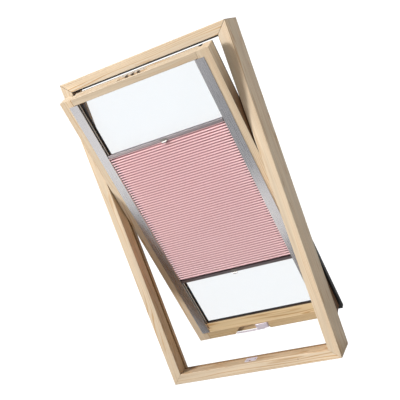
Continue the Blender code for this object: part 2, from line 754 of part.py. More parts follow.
def build_tongue(steel, pivot):
    """Make the latch tongue that the lever draws up."""
    x, y = tongue_centre()
    across, deep = (size / 2 for size in TONGUE)
    low = SASH_BOTTOM - TONGUE_PROUD
    high = low + TONGUE_LENGTH
    outline = [(y - deep, low + 0.003), (y - deep + 0.003, low), (y + deep, low), (y + deep, high),
               (y - deep, high)]
    shape = loft([[(along, b, z) for b, z in outline] for along in (x - across, x + across)])
    add_mesh("latch_tongue", shape, steel, pivot, origin=(x, y, low))


def keeper_notch():
    """Give the recess behind the sash head's front edge, with slanted ends."""
    low = SASH_TOP - NOTCH_DROP
    high = SASH_TOP + 0.01
    slant = 0.010
    outline = [(NOTCH[0] + slant, low), (NOTCH[1] - slant, low), (NOTCH[1] + slant, high),
               (NOTCH[0] - slant, high)]
    depths = (NOTCH_RIM - PIVOT_DEPTH, NOTCH_DEPTH - PIVOT_DEPTH)
    return loft([[(x, y, z) for x, z in outline] for y in depths])


def keeper_ends():
    """Give the keeper plate's low and high corners in x and depth."""
    start = NOTCH_DEPTH + 0.0025 - PIVOT_DEPTH
    return (-KEEPER[0] / 2, start), (KEEPER[0] / 2, start + KEEPER[1])


def keeper_pocket():
    """Give the shallow seat of the keeper plate."""
    (x0, y0), (x1, y1) = keeper_ends()
    return rounded_box((x0, y0, SASH_TOP - KEEPER_THICKNESS), (x1, y1, SASH_TOP + 0.01), 0.004)


def keeper_holes():
    """Give the three long holes that pass through the keeper plate into the head."""
    (x0, y0), (x1, y1) = keeper_ends()
    y = (y0 + y1) / 2
    holes = []
    for index, offset in enumerate(KEEPER_HOLES):
        half = 0.0055 if index == 0 else 0.0042
        holes.append(rounded_box((offset - half, y - 0.0065, SASH_TOP - 0.010),
                                 (offset + half, y + 0.0065, SASH_TOP + 0.01), 0.004))
    return holes


def build_keeper(steel, pivot):
    """Make the keeper plate with its three holes."""
    (x0, y0), (x1, y1) = keeper_ends()
    plate = rounded_box((x0 + TOUCH, y0 + TOUCH, SASH_TOP - KEEPER_THICKNESS + TOUCH),
                        (x1 - TOUCH, y1 - TOUCH, SASH_TOP + TOUCH), 0.0037)
    made = add_mesh("keeper_plate", plate, steel, pivot)
    for index, hole in enumerate(keeper_holes()):
        boolean(made, add_cutter(f"keeper_hole_{index}", hole, pivot))


def side_rail_profile():
    """Give the guide rail's section: a flange on the stile and a channel with a slot."""
    wall = RAIL_WALL
    front = RAIL_FRONT
    inner = front + wall
    web = STILE_INNER - TOUCH
    return [
        (RAIL_OUTER, inner), (RAIL_OUTER, front), (RAIL_INNER, front), (RAIL_INNER, SLOT[0]),
        (RAIL_INNER + wall, SLOT[0]), (RAIL_INNER + wall, inner), (web - wall, inner),
        (web - wall, CHANNEL_BACK - wall), (RAIL_INNER + wall, CHANNEL_BACK - wall),
        (RAIL_INNER + wall, SLOT[1]), (RAIL_INNER, SLOT[1]), (RAIL_INNER, CHANNEL_BACK),
        (web, CHANNEL_BACK), (web, inner)]


def build_side_rails(metal, pivot):
    """Make the guide rails; their feet follow the slope of the bottom member."""
    slope = SILL_RISE / LIP_DEPTH
    for side, sign in (("left", -1), ("right", 1)):
        profile = side_rail_profile()
        foot = [(sign * x, s - PIVOT_DEPTH, SILL_INNER + 2 * TOUCH + slope * s) for x, s in profile]
        head = [(sign * x, s - PIVOT_DEPTH, HEAD_INNER - TOUCH) for x, s in profile]
        add_mesh(f"side_rail_{side}", loft([foot, head]), metal, pivot)


def build_cords(material, pivot):
    """Make the straight tension cords that run down inside the guide rails."""
    x, depth = CORD_PLACE
    for side, sign in (("left", -1), ("right", 1)):
        cord = cylinder((sign * x, depth - PIVOT_DEPTH), CORD_RADIUS, SILL_INNER + 0.012,
                        HEAD_INNER - 0.004, sides=8)
        add_mesh(f"tension_cord_{side}", cord, material, pivot)


def moving_rail_profile(facing):
    """Give a moving rail's section about its middle; the cloth's groove faces up or down."""
    deep, tall = MOVING_RAIL
    front = MOVING_RAIL_FRONT - PIVOT_DEPTH
    back = front + deep
    middle = (front + back) / 2
    half = tall / 2
    slot, slot_depth = 0.0030, 0.005
    outline = [
        (front, -half), (middle - slot, -half), (middle - slot, -half + slot_depth),
        (middle + slot, -half + slot_depth), (middle + slot, -half), (back, -half), (back, half),
        (front, half)]
    outline = rounded(outline, {0: 0.0025, 5: 0.001, 6: 0.0015, 7: 0.0025})
    return [(y, facing * z) for y, z in outline]


def glider_shape(sign, facing):
    """Give a glider: an end plate on the rail, a neck in the slot and a head in the channel."""
    half = MOVING_RAIL[1] / 2
    end = moving_rail_profile(facing)
    plate_end = MOVING_RAIL_HALF + TOUCH + GLIDER_PLATE
    plate = loft([[(sign * x, y, z) for y, z in end]
                  for x in (MOVING_RAIL_HALF + TOUCH, plate_end)])
    clear = 0.0007
    neck = ((plate_end - 0.0005, SLOT[0] + clear, -half + 0.0005),
            (RAIL_INNER + RAIL_WALL + clear, SLOT[1] - clear, half - 0.0005))
    head = ((RAIL_INNER + RAIL_WALL + clear - 0.0005, RAIL_FRONT + RAIL_WALL + clear, -half),
            (STILE_INNER - RAIL_WALL - TOUCH - clear, CHANNEL_BACK - RAIL_WALL - clear, half))
    blocks = []
    for low, high in (neck, head):
        x0, x1 = sorted((sign * low[0], sign * high[0]))
        blocks.append(box((x0, low[1] - PIVOT_DEPTH, low[2]), (x1, high[1] - PIVOT_DEPTH, high[2])))
    return plate, blocks


def build_moving_rail(label, height, facing, looks, pivot):
    """Make one moving rail with its gliders and its finger tab."""
    metal, plastic, tab_look = looks
    origin = (0.0, 0.0, height)
    profile = moving_rail_profile(facing)
    rings = [[(x, y, z + height) for y, z in profile] for x in (-MOVING_RAIL_HALF, MOVING_RAIL_HALF)]
    add_mesh(f"{label}_rail", loft(rings), metal, pivot, origin)
    for side, sign in (("left", -1), ("right", 1)):
        plate, blocks = glider_shape(sign, facing)
        bmesh.ops.translate(plate, verts=plate.verts, vec=(0.0, 0.0, height))
        glider = add_mesh(f"{label}_glider_{side}", plate, plastic, pivot, origin)
        for name, block in zip(("neck", "head"), blocks):
            bmesh.ops.translate(block, verts=block.verts, vec=(0.0, 0.0, height))
            tool = add_cutter(f"{label}_glider_{name}_{side}", block, pivot)
            boolean(glider, tool, "UNION")
        x, depth = CORD_PLACE
        hole = cylinder((sign * x, depth - PIVOT_DEPTH), CORD_RADIUS + 0.0006, height - 0.02,
                        height + 0.02, sides=12)
        boolean(glider, add_cutter(f"{label}_cord_hole_{side}", hole, pivot))
    add_mesh(f"{label}_rail_tab", tab_shape(height), tab_look, pivot, origin)


def tab_shape(height):
    """Give the finger tab: a plate on the rail's front whose lip curls out below it."""
    front = MOVING_RAIL_FRONT - TOUCH - PIVOT_DEPTH
    top = MOVING_RAIL[1] / 2 - 0.0008
    start = -0.002
    radius = 0.009
    sweep = math.radians(70)
    steps = 8
    spine = [(front - TAB_THICKNESS / 2, top, 0.0), (front - TAB_THICKNESS / 2, start, 0.0)]
    for i in range(1, steps + 1):
        angle = sweep * i / steps
        spine.append((front - TAB_THICKNESS / 2 - radius * (1 - math.cos(angle)),
                      start - radius * math.sin(angle), angle))
    near = []
    far = []
    for y, z, angle in spine:
        normal = (-math.cos(angle), math.sin(angle))
        near.append((y + normal[0] * TAB_THICKNESS / 2, z + normal[1] * TAB_THICKNESS / 2))
        far.append((y - normal[0] * TAB_THICKNESS / 2, z - normal[1] * TAB_THICKNESS / 2))
    outline = near + list(reversed(far))
    tip = min(z for _, z in outline)

    def half_width(z):
        """Give half the tab's width, which narrows towards the tip of the lip."""
        return TAB_WIDTH / 2 - 0.007 * (top - z) / (top - tip)

    rings = [[(sign * half_width(z), y, z + height) for y, z in outline] for sign in (-1, 1)]
    shape = loft(rings)
    rims = [edge for edge in shape.edges
            if abs(edge.verts[0].co.x - edge.verts[1].co.x) < 0.004]
    bmesh.ops.bevel(shape, geom=rims, offset=0.0005, segments=1, affect="EDGES")
    return shape


def pleat_section(start, end, first, last):
    """Give the outline of folded cloth between two heights, as (depth, height).

    The cloth starts and ends at mid depth. Its folds turn first at one depth and then at
    the other, and each fold is mitred, so the cloth keeps its thickness.
    """
    pitch = (end - start) / (PLEATS / 2)
    run = abs(last - first)
    slope = math.atan2(abs(pitch) / 2, run)
    rise = math.copysign(CLOTH_THICKNESS / 2 / math.cos(slope), pitch)
    reach = CLOTH_THICKNESS / 2 / math.sin(slope)
    side = math.copysign(reach, last - first)
    middle = (first + last) / 2
    gap = math.copysign(TOUCH / 2, last - first)
    outer = [(middle, start)]
    inner = [(middle, start + 2 * rise)]
    for i in range(PLEATS // 2):
        for depth, part in ((first, 0.25), (last, 0.75)):
            height = start + rise + pitch * (i + part)
            outer.append((depth - side, height))
            inner.append((depth + side, height))
    outer.append((middle + gap, end))
    inner.append((middle + gap, end + 2 * rise))
    return outer + inner[::-1]


def build_cloth(look, pivot):
    """Make the pleated cloth in two halves that meet at mid height."""
    top = TOP_RAIL_HEIGHT - MOVING_RAIL[1] / 2 - TOUCH
    bottom = BOTTOM_RAIL_HEIGHT + MOVING_RAIL[1] / 2 + TOUCH
    middle = (top + bottom) / 2
    near = CLOTH_FRONT
    far = CLOTH_FRONT + PLEAT_DEPTH
    for name, start, first, last in (("fabric_upper", top, near, far),
                                     ("fabric_lower", bottom, far, near)):
        section = pleat_section(start, middle, first, last)
        rings = [[(x, s - PIVOT_DEPTH, z) for s, z in section] for x in (-CLOTH_HALF, CLOTH_HALF)]
        add_mesh(name, loft(rings), look, pivot, origin=(0.0, 0.0, start))


def smooth_round_pieces():
    """Shade the turned and bent pieces smooth between their sharp edges."""
    for item in bpy.data.objects:
        if item.type == "MESH" and not item.hide_render:
            item.data.shade_smooth()
            item.data.set_sharp_from_angle(angle=math.radians(35))


def main():
    """Build the whole window and blind."""
    clear_scene()
    wood = finish("pine", PINE, 0.5)
    rubber = finish("rubber", RUBBER, 0.75)
    brown_rubber = finish("brown_rubber", BROWN_RUBBER, 0.7)
    dark_metal = finish("coated_aluminium", DARK_METAL, 0.45, 0.6)
    steel = finish("zinc_plated_steel", STEEL, 0.3, 1.0)
    aluminium = finish("anodised_aluminium", ALUMINIUM, 0.35, 0.9)
    glass = finish("glass", GLASS, 0.02, 0.0, 0.15)
    spacer_metal = finish("spacer", SPACER_GREY, 0.4, 0.7)
    plastic = finish("glider_plastic", GLIDER_GREY, 0.5)
    tab_look = finish("tab_plastic", TAB_GREY, 0.25)
    cloth = finish("pleated_polyester", CLOTH, 0.9)
    cord = finish("nylon_cord", CORD_GREY, 0.6)

    build_frame(wood)
    build_seals(rubber, brown_rubber)
    build_frame_hinges(steel)
    build_strike(steel)

    pivot = add_empty("sash_pivot", (0.0, ROOM_FACE + PIVOT_DEPTH, PIVOT_HEIGHT), tilt=OPEN_ANGLE)
    build_sash_wood(wood, pivot)
    build_glazing(glass, spacer_metal, rubber, pivot)
    build_sash_covers(dark_metal, pivot)
    build_sash_hinges(steel, pivot)
    build_keeper(steel, pivot)
    build_handle_case(steel, pivot)
    build_lever(steel, pivot)
    build_tongue(steel, pivot)
    build_side_rails(aluminium, pivot)
    build_cords(cord, pivot)
    looks = (aluminium, plastic, tab_look)
    build_moving_rail("top", TOP_RAIL_HEIGHT, 1, looks, pivot)
    build_moving_rail("bottom", BOTTOM_RAIL_HEIGHT, -1, looks, pivot)
    build_cloth(cloth, pivot)
    smooth_round_pieces()


main()
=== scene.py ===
"""Looks for a pine pivot roof window with a pleated blind in its sash."""
import logging
import math
from abc import ABC, abstractmethod
from dataclasses import dataclass
from enum import Enum

import bmesh
import bpy
from bpy.types import Collection, Material, Mesh, Node, NodeSocket, NodeTree, Object
from mathutils import Matrix, Vector


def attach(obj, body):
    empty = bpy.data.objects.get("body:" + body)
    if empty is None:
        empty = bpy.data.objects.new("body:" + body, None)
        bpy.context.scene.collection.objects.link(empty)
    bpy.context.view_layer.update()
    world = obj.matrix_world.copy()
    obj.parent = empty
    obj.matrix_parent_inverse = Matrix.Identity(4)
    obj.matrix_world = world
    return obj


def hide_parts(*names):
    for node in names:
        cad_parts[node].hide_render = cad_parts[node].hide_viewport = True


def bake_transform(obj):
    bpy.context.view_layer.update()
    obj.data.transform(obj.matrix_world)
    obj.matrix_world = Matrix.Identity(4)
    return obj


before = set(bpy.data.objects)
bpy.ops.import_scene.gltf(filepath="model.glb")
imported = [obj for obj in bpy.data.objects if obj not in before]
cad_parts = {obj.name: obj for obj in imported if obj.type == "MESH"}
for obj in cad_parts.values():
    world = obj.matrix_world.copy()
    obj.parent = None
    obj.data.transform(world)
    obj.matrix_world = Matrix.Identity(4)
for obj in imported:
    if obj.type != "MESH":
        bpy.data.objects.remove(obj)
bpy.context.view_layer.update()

LOG = logging.getLogger("roof_window")
Pair = tuple[float, float]
Triple = tuple[float, float, float]

# The window's own sizes, in metres, as the part's source has them
ROOM_FACE = -0.065
FACE_WIDTH = 0.045
PIVOT_DEPTH = 0.0338
PIVOT_HEIGHT = 0.9293
OPEN_ANGLE = math.radians(17.35)


class Grain(Enum):
    """The way that a piece's grain or brushing runs, as the turn that brings Z along it."""

    ACROSS = (0.0, -math.pi / 2, 0.0)
    UPRIGHT = (0.0, 0.0, 0.0)
    ALONG_SASH = (-OPEN_ANGLE, 0.0, 0.0)


@dataclass(frozen=True)
class SashPlace:
    """Turns sash coordinates into the row frame.

    A sash point is x, the depth from the sash's room face and the height above the pivot.
    """

    pivot: Triple = (0.0, ROOM_FACE + PIVOT_DEPTH, PIVOT_HEIGHT)
    depth: float = PIVOT_DEPTH
    angle: float = OPEN_ANGLE

    def matrix(self) -> Matrix:
        """Returns the matrix from sash coordinates to the row frame."""
        turn = Matrix.Rotation(self.angle, 4, "X")
        return Matrix.Translation(self.pivot) @ turn @ Matrix.Translation((0, -self.depth, 0))

    def point(self, x: float, depth: float, height: float) -> Vector:
        """Returns the row-frame place of a sash point."""
        return self.matrix() @ Vector((x, depth, height))


SASH = SashPlace()


def linear(colour: str) -> tuple[float, float, float, float]:
    """Turns an sRGB hex colour into linear values.

    Args:
        colour: Six hex digits.

    Returns:
        Red, green, blue and alpha.
    """
    values = []
    for start in (0, 2, 4):
        channel = int(colour[start:start + 2], 16) / 255
        low = channel / 12.92
        values.append(low if channel <= 0.04045 else ((channel + 0.055) / 1.055) ** 2.4)
    return (*values, 1.0)


def add_node(tree: NodeTree, kind: str, settings: dict | None = None,
             inputs: dict | None = None) -> Node:
    """Adds a node with its settings, values and links.

    Args:
        tree: The node tree that takes it.
        kind: The node's type.
        settings: Attribute names and values.
        inputs: Input names or numbers, with a value or a socket to link for each.

    Returns:
        The node.
    """
    node = tree.nodes.new(kind)
    for name, value in (settings or {}).items():
        setattr(node, name, value)
    for name, value in (inputs or {}).items():
        socket = node.inputs[name]
        if isinstance(value, NodeSocket):
            tree.links.new(value, socket)
        else:
            socket.default_value = value
    return node


def calculate(tree: NodeTree, operation: str, *values: float | NodeSocket) -> NodeSocket:
    """Adds one calculation and returns its result."""
    return add_node(tree, "ShaderNodeMath", {"operation": operation},
                    dict(enumerate(values))).outputs[0]


def map_range(tree: NodeTree, value: NodeSocket, source: Pair,
              target: Pair = (0.0, 1.0), kind: str = "SMOOTHSTEP") -> NodeSocket:
    """Maps a value from one range to another.

    Args:
        tree: The node tree.
        value: The value's socket.
        source: The two values that become the target's two.
        target: What they become.
        kind: SMOOTHSTEP for soft ends, or LINEAR.

    Returns:
        The mapped value's socket.
    """
    return add_node(tree, "ShaderNodeMapRange", {"interpolation_type": kind}, {
        "Value": value, "From Min": source[0], "From Max": source[1], "To Min": target[0],
        "To Max": target[1]}).outputs["Result"]


def wave(tree: NodeTree, value: NodeSocket, length: float) -> NodeSocket:
    """Returns the sine of a value in metres, for a wave length in metres."""
    return calculate(tree, "SINE", calculate(tree, "MULTIPLY", value, 2 * math.pi / length))


def noise(tree: NodeTree, place: NodeSocket, scale: float, detail: float,
          roughness: float = 0.5, dimensions: str = "3D") -> NodeSocket:
    """Adds a noise texture and returns its strength."""
    return add_node(tree, "ShaderNodeTexNoise", {"noise_dimensions": dimensions}, {
        "Vector": place, "Scale": scale, "Detail": detail,
        "Roughness": roughness}).outputs["Fac"]


def object_place(tree: NodeTree) -> NodeSocket:
    """Returns the object's own coordinates, in metres."""
    return add_node(tree, "ShaderNodeTexCoord").outputs["Object"]


def split(tree: NodeTree, vector: NodeSocket) -> dict[str, NodeSocket]:
    """Returns the X, Y and Z of a vector."""
    node = add_node(tree, "ShaderNodeSeparateXYZ", inputs={0: vector})
    return {axis: node.outputs[axis] for axis in "XYZ"}


def sideways(tree: NodeTree) -> NodeSocket:
    """Returns the distance from the window's middle, to the left or the right."""
    return calculate(tree, "ABSOLUTE", split(tree, object_place(tree))["X"])


def place_grain(tree: NodeTree, grain: Grain, shift: Vector, along: float) -> NodeSocket:
    """Gives coordinates for a pattern that is drawn out along the grain, which is their Z.

    Args:
        tree: The material's tree.
        grain: The grain's direction in the row frame.
        shift: An offset that gives each piece its own figure.
        along: The scale along the grain; a small one draws the pattern out.

    Returns:
        A vector socket in metres.
    """
    turned = add_node(tree, "ShaderNodeMapping", {"vector_type": "POINT"}, {
        "Vector": object_place(tree), "Rotation": grain.value, "Location": shift})
    return add_node(tree, "ShaderNodeMapping", {"vector_type": "POINT"}, {
        "Vector": turned.outputs["Vector"], "Scale": (1.0, 1.0, along)}).outputs["Vector"]


def ramp(tree: NodeTree, factor: NodeSocket, stops: list[tuple[float, str]]) -> NodeSocket:
    """Adds a colour ramp.

    Args:
        tree: The node tree.
        factor: The socket that runs along the ramp.
        stops: Positions with their sRGB hex colours.

    Returns:
        The ramp's colour socket.
    """
    node = add_node(tree, "ShaderNodeValToRGB", inputs={"Fac": factor})
    points = node.color_ramp.elements
    while len(points) < len(stops):
        points.new(0.5)
    for point, (position, colour) in zip(points, stops):
        point.position = position
        point.color = linear(colour)
    return node.outputs["Color"]


def mix(tree: NodeTree, factor: NodeSocket, under: NodeSocket, over: NodeSocket | str,
        blend: str = "MIX") -> NodeSocket:
    """Lays one colour over another.

    Args:
        tree: The node tree.
        factor: How much of the upper colour shows.
        under: The lower colour's socket.
        over: The upper colour's socket, or its sRGB hex colour.
        blend: The way that the two are joined.

    Returns:
        The joined colour's socket.
    """
    upper = linear(over) if isinstance(over, str) else over
    return add_node(tree, "ShaderNodeMix", {"data_type": "RGBA", "blend_type": blend},
                    {"Factor": factor, 6: under, 7: upper}).outputs[2]


def scale_colour(tree: NodeTree, colour: NodeSocket, tone: NodeSocket) -> NodeSocket:
    """Multiplies a colour by a number and returns the result."""
    return add_node(tree, "ShaderNodeVectorMath", {"operation": "SCALE"},
                    {0: colour, "Scale": tone}).outputs["Vector"]


def add_bump(tree: NodeTree, shader: Node, height: NodeSocket, strength: float,
             distance: float) -> None:
    """Gives a shader a bump, with its distance in metres."""
    bump = add_node(tree, "ShaderNodeBump", inputs={
        "Height": height, "Strength": strength, "Distance": distance})
    tree.links.new(bump.outputs["Normal"], shader.inputs["Normal"])


def start_material(name: str, settings: dict) -> tuple[Material, Node]:
    """Starts a material on one Principled shader.

    Args:
        name: The material's name.
        settings: Values of the shader's own sockets.

    Returns:
        The material and its shader node.
    """
    made = bpy.data.materials.new(name)
    made.use_nodes = True
    tree = made.node_tree
    tree.nodes.clear()
    shader = add_node(tree, "ShaderNodeBsdfPrincipled", inputs=settings)
    add_node(tree, "ShaderNodeOutputMaterial", inputs={"Surface": shader.outputs["BSDF"]})
    return made, shader


class Layer(ABC):
    """A local colour, laid over a material's own."""

    @abstractmethod
    def lay(self, tree: NodeTree, colour: NodeSocket) -> NodeSocket:
        """Lays the local colour over another.

        Args:
            tree: The material's tree.
            colour: The colour socket under it.

        Returns:
            The colour socket with the local colour on it.
        """


@dataclass(frozen=True)
class Spot(Layer):
    """A round dark place with a soft rim, used for a knot and for painted shade in the mouth of a
    bored hole.
    """

    place: Triple
    radius: float
    colour: str = "8A5A34"
    strength: float = 0.75
    rim: Pair = (1.5, 0.5)

    def lay(self, tree: NodeTree, colour: NodeSocket) -> NodeSocket:
        """Lays the spot over a colour."""
        away = add_node(tree, "ShaderNodeVectorMath", {"operation": "DISTANCE"},
                        {0: object_place(tree), 1: self.place}).outputs["Value"]
        outer, inner = (self.radius * share for share in self.rim)
        mask = map_range(tree, away, (outer, inner), (0.0, self.strength))
        return mix(tree, mask, colour, self.colour)


@dataclass(frozen=True)
class Mitre(Layer):
    """The line along one mitre, given by its plane's direction in x and z and its distance.

    A real glue line is 0.3 mm wide; this one is about 2 mm wide so that it shows.
    """

    x: float
    z: float
    distance: float
    strength: float
    colour: str = "6B5136"
    reach: Pair = (0.0021, 0.0007)

    def lay(self, tree: NodeTree, colour: NodeSocket) -> NodeSocket:
        """Lays the line over a colour."""
        along = add_node(tree, "ShaderNodeVectorMath", {"operation": "DOT_PRODUCT"}, {
            0: object_place(tree), 1: (self.x, 0.0, self.z)}).outputs["Value"]
        away = calculate(tree, "ABSOLUTE", calculate(tree, "SUBTRACT", along, self.distance))
        mask = map_range(tree, away, self.reach, (0.0, self.strength))
        return mix(tree, mask, colour, self.colour)


@dataclass(frozen=True)
class InnerPaintedShade(Layer):
    """A painted shade, darker and warmer in colour, on a frame member's sides; it begins just
    behind the room face.
    """

    colour: str
    reach: Pair = (ROOM_FACE + 0.0004, ROOM_FACE + 0.002)

    def lay(self, tree: NodeTree, colour: NodeSocket) -> NodeSocket:
        """Lays the painted shade over a colour."""
        behind = map_range(tree, split(tree, object_place(tree))["Y"], self.reach)
        return mix(tree, behind, colour, self.colour, "MULTIPLY")


@dataclass(frozen=True)
class StilePaintedShade(Layer):
    """Painted shade on a stile's outer side, in the gap beside the jamb: dark brown below its top.
    """

    side: float = 0.3404
    fall: Pair = (1.33, 1.07)
    colour: str = "785C42"

    def lay(self, tree: NodeTree, colour: NodeSocket) -> NodeSocket:
        """Lays the painted shade over a colour."""
        outer = calculate(tree, "GREATER_THAN", sideways(tree), self.side)
        fall = map_range(tree, split(tree, object_place(tree))["Z"], self.fall)
        both = calculate(tree, "MULTIPLY", outer, fall)
        return mix(tree, both, colour, self.colour, "MULTIPLY")


@dataclass(frozen=True)
class FlankPaintedReflection(Layer):
    """A side rail's flank beside the glass, in a warmer, lighter colour: a painted reflection of
    the wood.
    """

    side: float = 0.2703
    colour: str = "F2DCC6"

    def lay(self, tree: NodeTree, colour: NodeSocket) -> NodeSocket:
        """Lays the flank's painted reflection over another colour."""
        inside = calculate(tree, "LESS_THAN", sideways(tree), self.side)
        return mix(tree, inside, colour, self.colour)


def lay_all(tree: NodeTree, colour: NodeSocket, layers: tuple[Layer, ...]) -> NodeSocket:
    """Lays local colours over a colour, each over the one before."""
    for layer in layers:
        colour = layer.lay(tree, colour)
    return colour


@dataclass(frozen=True)
class LacqueredPine:
    """One board of planed pine under a clear satin lacquer.

    The eye sees pale cream early wood, narrow honey late-wood lines a few millimetres apart
    that wander along the board, fine fibres, a soft sheen and the odd small knot. The board's
    tone runs evenly from one end of its span to the other.
    """

    node: str
    grain: Grain
    tones: Pair
    span: Pair
    layers: tuple[Layer, ...] = ()
    pale: str = "E9D3B5"
    honey: str = "D3A975"
    ring_mm: float = 6.5
    slant: float = 0.55
    wander: float = 0.11
    fibre_share: float = 0.22
    streak_tones: Pair = (0.92, 1.07)
    draw_out: float = 0.06
    step: Triple = (0.37, 0.61, 0.83)

    def build(self, number: int) -> Material:
        """Makes the board's material.

        Args:
            number: The board's number, which gives it a figure of its own.

        Returns:
            The material.
        """
        made, shader = start_material(f"pine_{self.node}", {
            "Roughness": 0.42, "Coat Weight": 0.25, "Coat Roughness": 0.3})
        tree = made.node_tree
        place = place_grain(tree, self.grain, Vector(self.step) * number, self.draw_out)
        figure = self.add_figure(tree, place)
        wood = ramp(tree, figure, [(0.05, self.pale), (0.40, self.pale), (0.74, self.honey)])
        toned = scale_colour(tree, wood, self.add_tone(tree, place))
        tree.links.new(lay_all(tree, toned, self.layers), shader.inputs["Base Color"])
        add_bump(tree, shader, figure, strength=0.25, distance=0.0002)
        return made

    def add_figure(self, tree: NodeTree, place: NodeSocket) -> NodeSocket:
        """Adds the rings and fibres.

        Args:
            tree: The material's tree.
            place: Coordinates drawn out along the grain.

        Returns:
            A socket that is low in early wood and high in late wood.
        """
        # Slow drift of the rings, about 60 mm across and a metre along
        drift = noise(tree, place, scale=16.0, detail=2.0, roughness=0.45)
        axes = split(tree, place)
        across = calculate(tree, "MULTIPLY_ADD", axes["Y"], self.slant, axes["X"])
        wandering = calculate(tree, "MULTIPLY_ADD", drift, self.wander, across)
        rings = map_range(tree, wave(tree, wandering, self.ring_mm / 1000), (-0.35, 1.0))
        # Patches where the rings fade
        patches = noise(tree, place, scale=34.0, detail=3.0)
        strength = calculate(tree, "MULTIPLY", rings, patches)
        fibres = noise(tree, place, scale=700.0, detail=3.0, roughness=0.6)
        return calculate(tree, "MULTIPLY_ADD", fibres, self.fibre_share, strength)

    def add_tone(self, tree: NodeTree, place: NodeSocket) -> NodeSocket:
        """Adds the board's tone, with broad lighter and darker streaks.

        Args:
            tree: The material's tree.
            place: Coordinates drawn out along the grain.

        Returns:
            A socket that multiplies the board's colour.
        """
        streaks = noise(tree, place, scale=55.0, detail=1.0)
        shade = map_range(tree, streaks, (0.3, 0.7), self.streak_tones, "LINEAR")
        along = split(tree, object_place(tree))["X" if self.grain is Grain.ACROSS else "Z"]
        tone = map_range(tree, along, self.span, self.tones, "LINEAR")
        return calculate(tree, "MULTIPLY", shade, tone)


@dataclass(frozen=True)
class GlazingRubber:
    """Extruded rubber: matt, with a faint bloom."""

    name: str
    colour: str
    bloom: str

    def build(self) -> Material:
        """Returns the material."""
        made, shader = start_material(self.name, {"Roughness": 0.62, "Specular IOR Level": 0.35})
        tree = made.node_tree
        dust = noise(tree, object_place(tree), scale=90.0, detail=4.0)
        tree.links.new(ramp(tree, dust, [(0.35, self.colour), (0.8, self.bloom)]),
                       shader.inputs["Base Color"])
        add_bump(tree, shader, dust, strength=0.15, distance=0.0002)
        return made


@dataclass(frozen=True)
class PowderCoat:
    """Powder-coated aluminium sheet: even near-black with a fine orange-peel sheen."""

    name: str = "powder_coat"
    colour: str = "151517"

    def build(self) -> Material:
        """Returns the material."""
        made, shader = start_material(self.name, {
            "Base Color": linear(self.colour), "Roughness": 0.42, "Coat Weight": 0.2,
            "Coat Roughness": 0.35})
        tree = made.node_tree
        # Orange peel about 1.5 mm wide
        peel = noise(tree, object_place(tree), scale=650.0, detail=2.0)
        add_bump(tree, shader, peel, strength=0.2, distance=0.0001)
        return made


@dataclass(frozen=True)
class DrawnMetal:
    """Metal with drawing or brushing lines along its length.

    Anodised rail stock gives a soft grey sheen, plated steel a brighter one, and a bronze
    spacer a dull dark one.
    """

    name: str
    grain: Grain
    colour: str
    bright: str
    roughness: float
    metallic: float = 1.0
    layers: tuple[Layer, ...] = ()
    draw_out: float = 0.015
    shift: Triple = (0.2, 0.1, 0.0)
    smoothest: float = -0.06
    roughest: float = 0.08

    def build(self) -> Material:
        """Returns the material."""
        made, shader = start_material(self.name, {"Metallic": self.metallic})
        tree = made.node_tree
        place = place_grain(tree, self.grain, Vector(self.shift), self.draw_out)
        # Brushing lines of about 0.8 mm, coarser than real ones so that they show
        lines = noise(tree, place, scale=1200.0, detail=2.0)
        colour = ramp(tree, lines, [(0.3, self.colour), (0.7, self.bright)])
        tree.links.new(lay_all(tree, colour, self.layers), shader.inputs["Base Color"])
        reach = (self.roughness + self.smoothest, self.roughness + self.roughest)
        tree.links.new(map_range(tree, lines, (0.0, 1.0), reach, "LINEAR"),
                       shader.inputs["Roughness"])
        return made


@dataclass(frozen=True)
class FloatGlass:
    """Clear float glass: nearly all the light passes, with a sharp faint reflection."""

    name: str = "float_glass"
    colour: str = "5AB8E8"
    roughness: Pair = (0.01, 0.05)

    def build(self) -> Material:
        """Returns the material."""
        made, shader = start_material(self.name, {
            "Base Color": linear(self.colour), "Roughness": 0.02, "Alpha": 0.06,
            "Specular IOR Level": 0.5})
        tree = made.node_tree
        # Thin film of dust in drifts of about 100 mm
        dust = noise(tree, object_place(tree), scale=9.0, detail=5.0)
        tree.links.new(map_range(tree, dust, (0.0, 1.0), self.roughness, "LINEAR"),
                       shader.inputs["Roughness"])
        return made


@dataclass(frozen=True)
class MouldedPlastic:
    """Moulded plastic or a lacquered casting, with a fine spark texture."""

    name: str
    colour: str
    roughness: float
    metallic: float = 0.0
    layers: tuple[Layer, ...] = ()

    def build(self) -> Material:
        """Returns the material."""
        made, shader = start_material(self.name, {
            "Base Color": linear(self.colour), "Roughness": self.roughness,
            "Metallic": self.metallic})
        tree = made.node_tree
        if self.layers:
            plain = add_node(tree, "ShaderNodeRGB").outputs["Color"]
            plain.default_value = linear(self.colour)
            tree.links.new(lay_all(tree, plain, self.layers), shader.inputs["Base Color"])
        spark = noise(tree, object_place(tree), scale=1500.0, detail=1.0)
        add_bump(tree, shader, spark, strength=0.12, distance=0.0001)
        return made


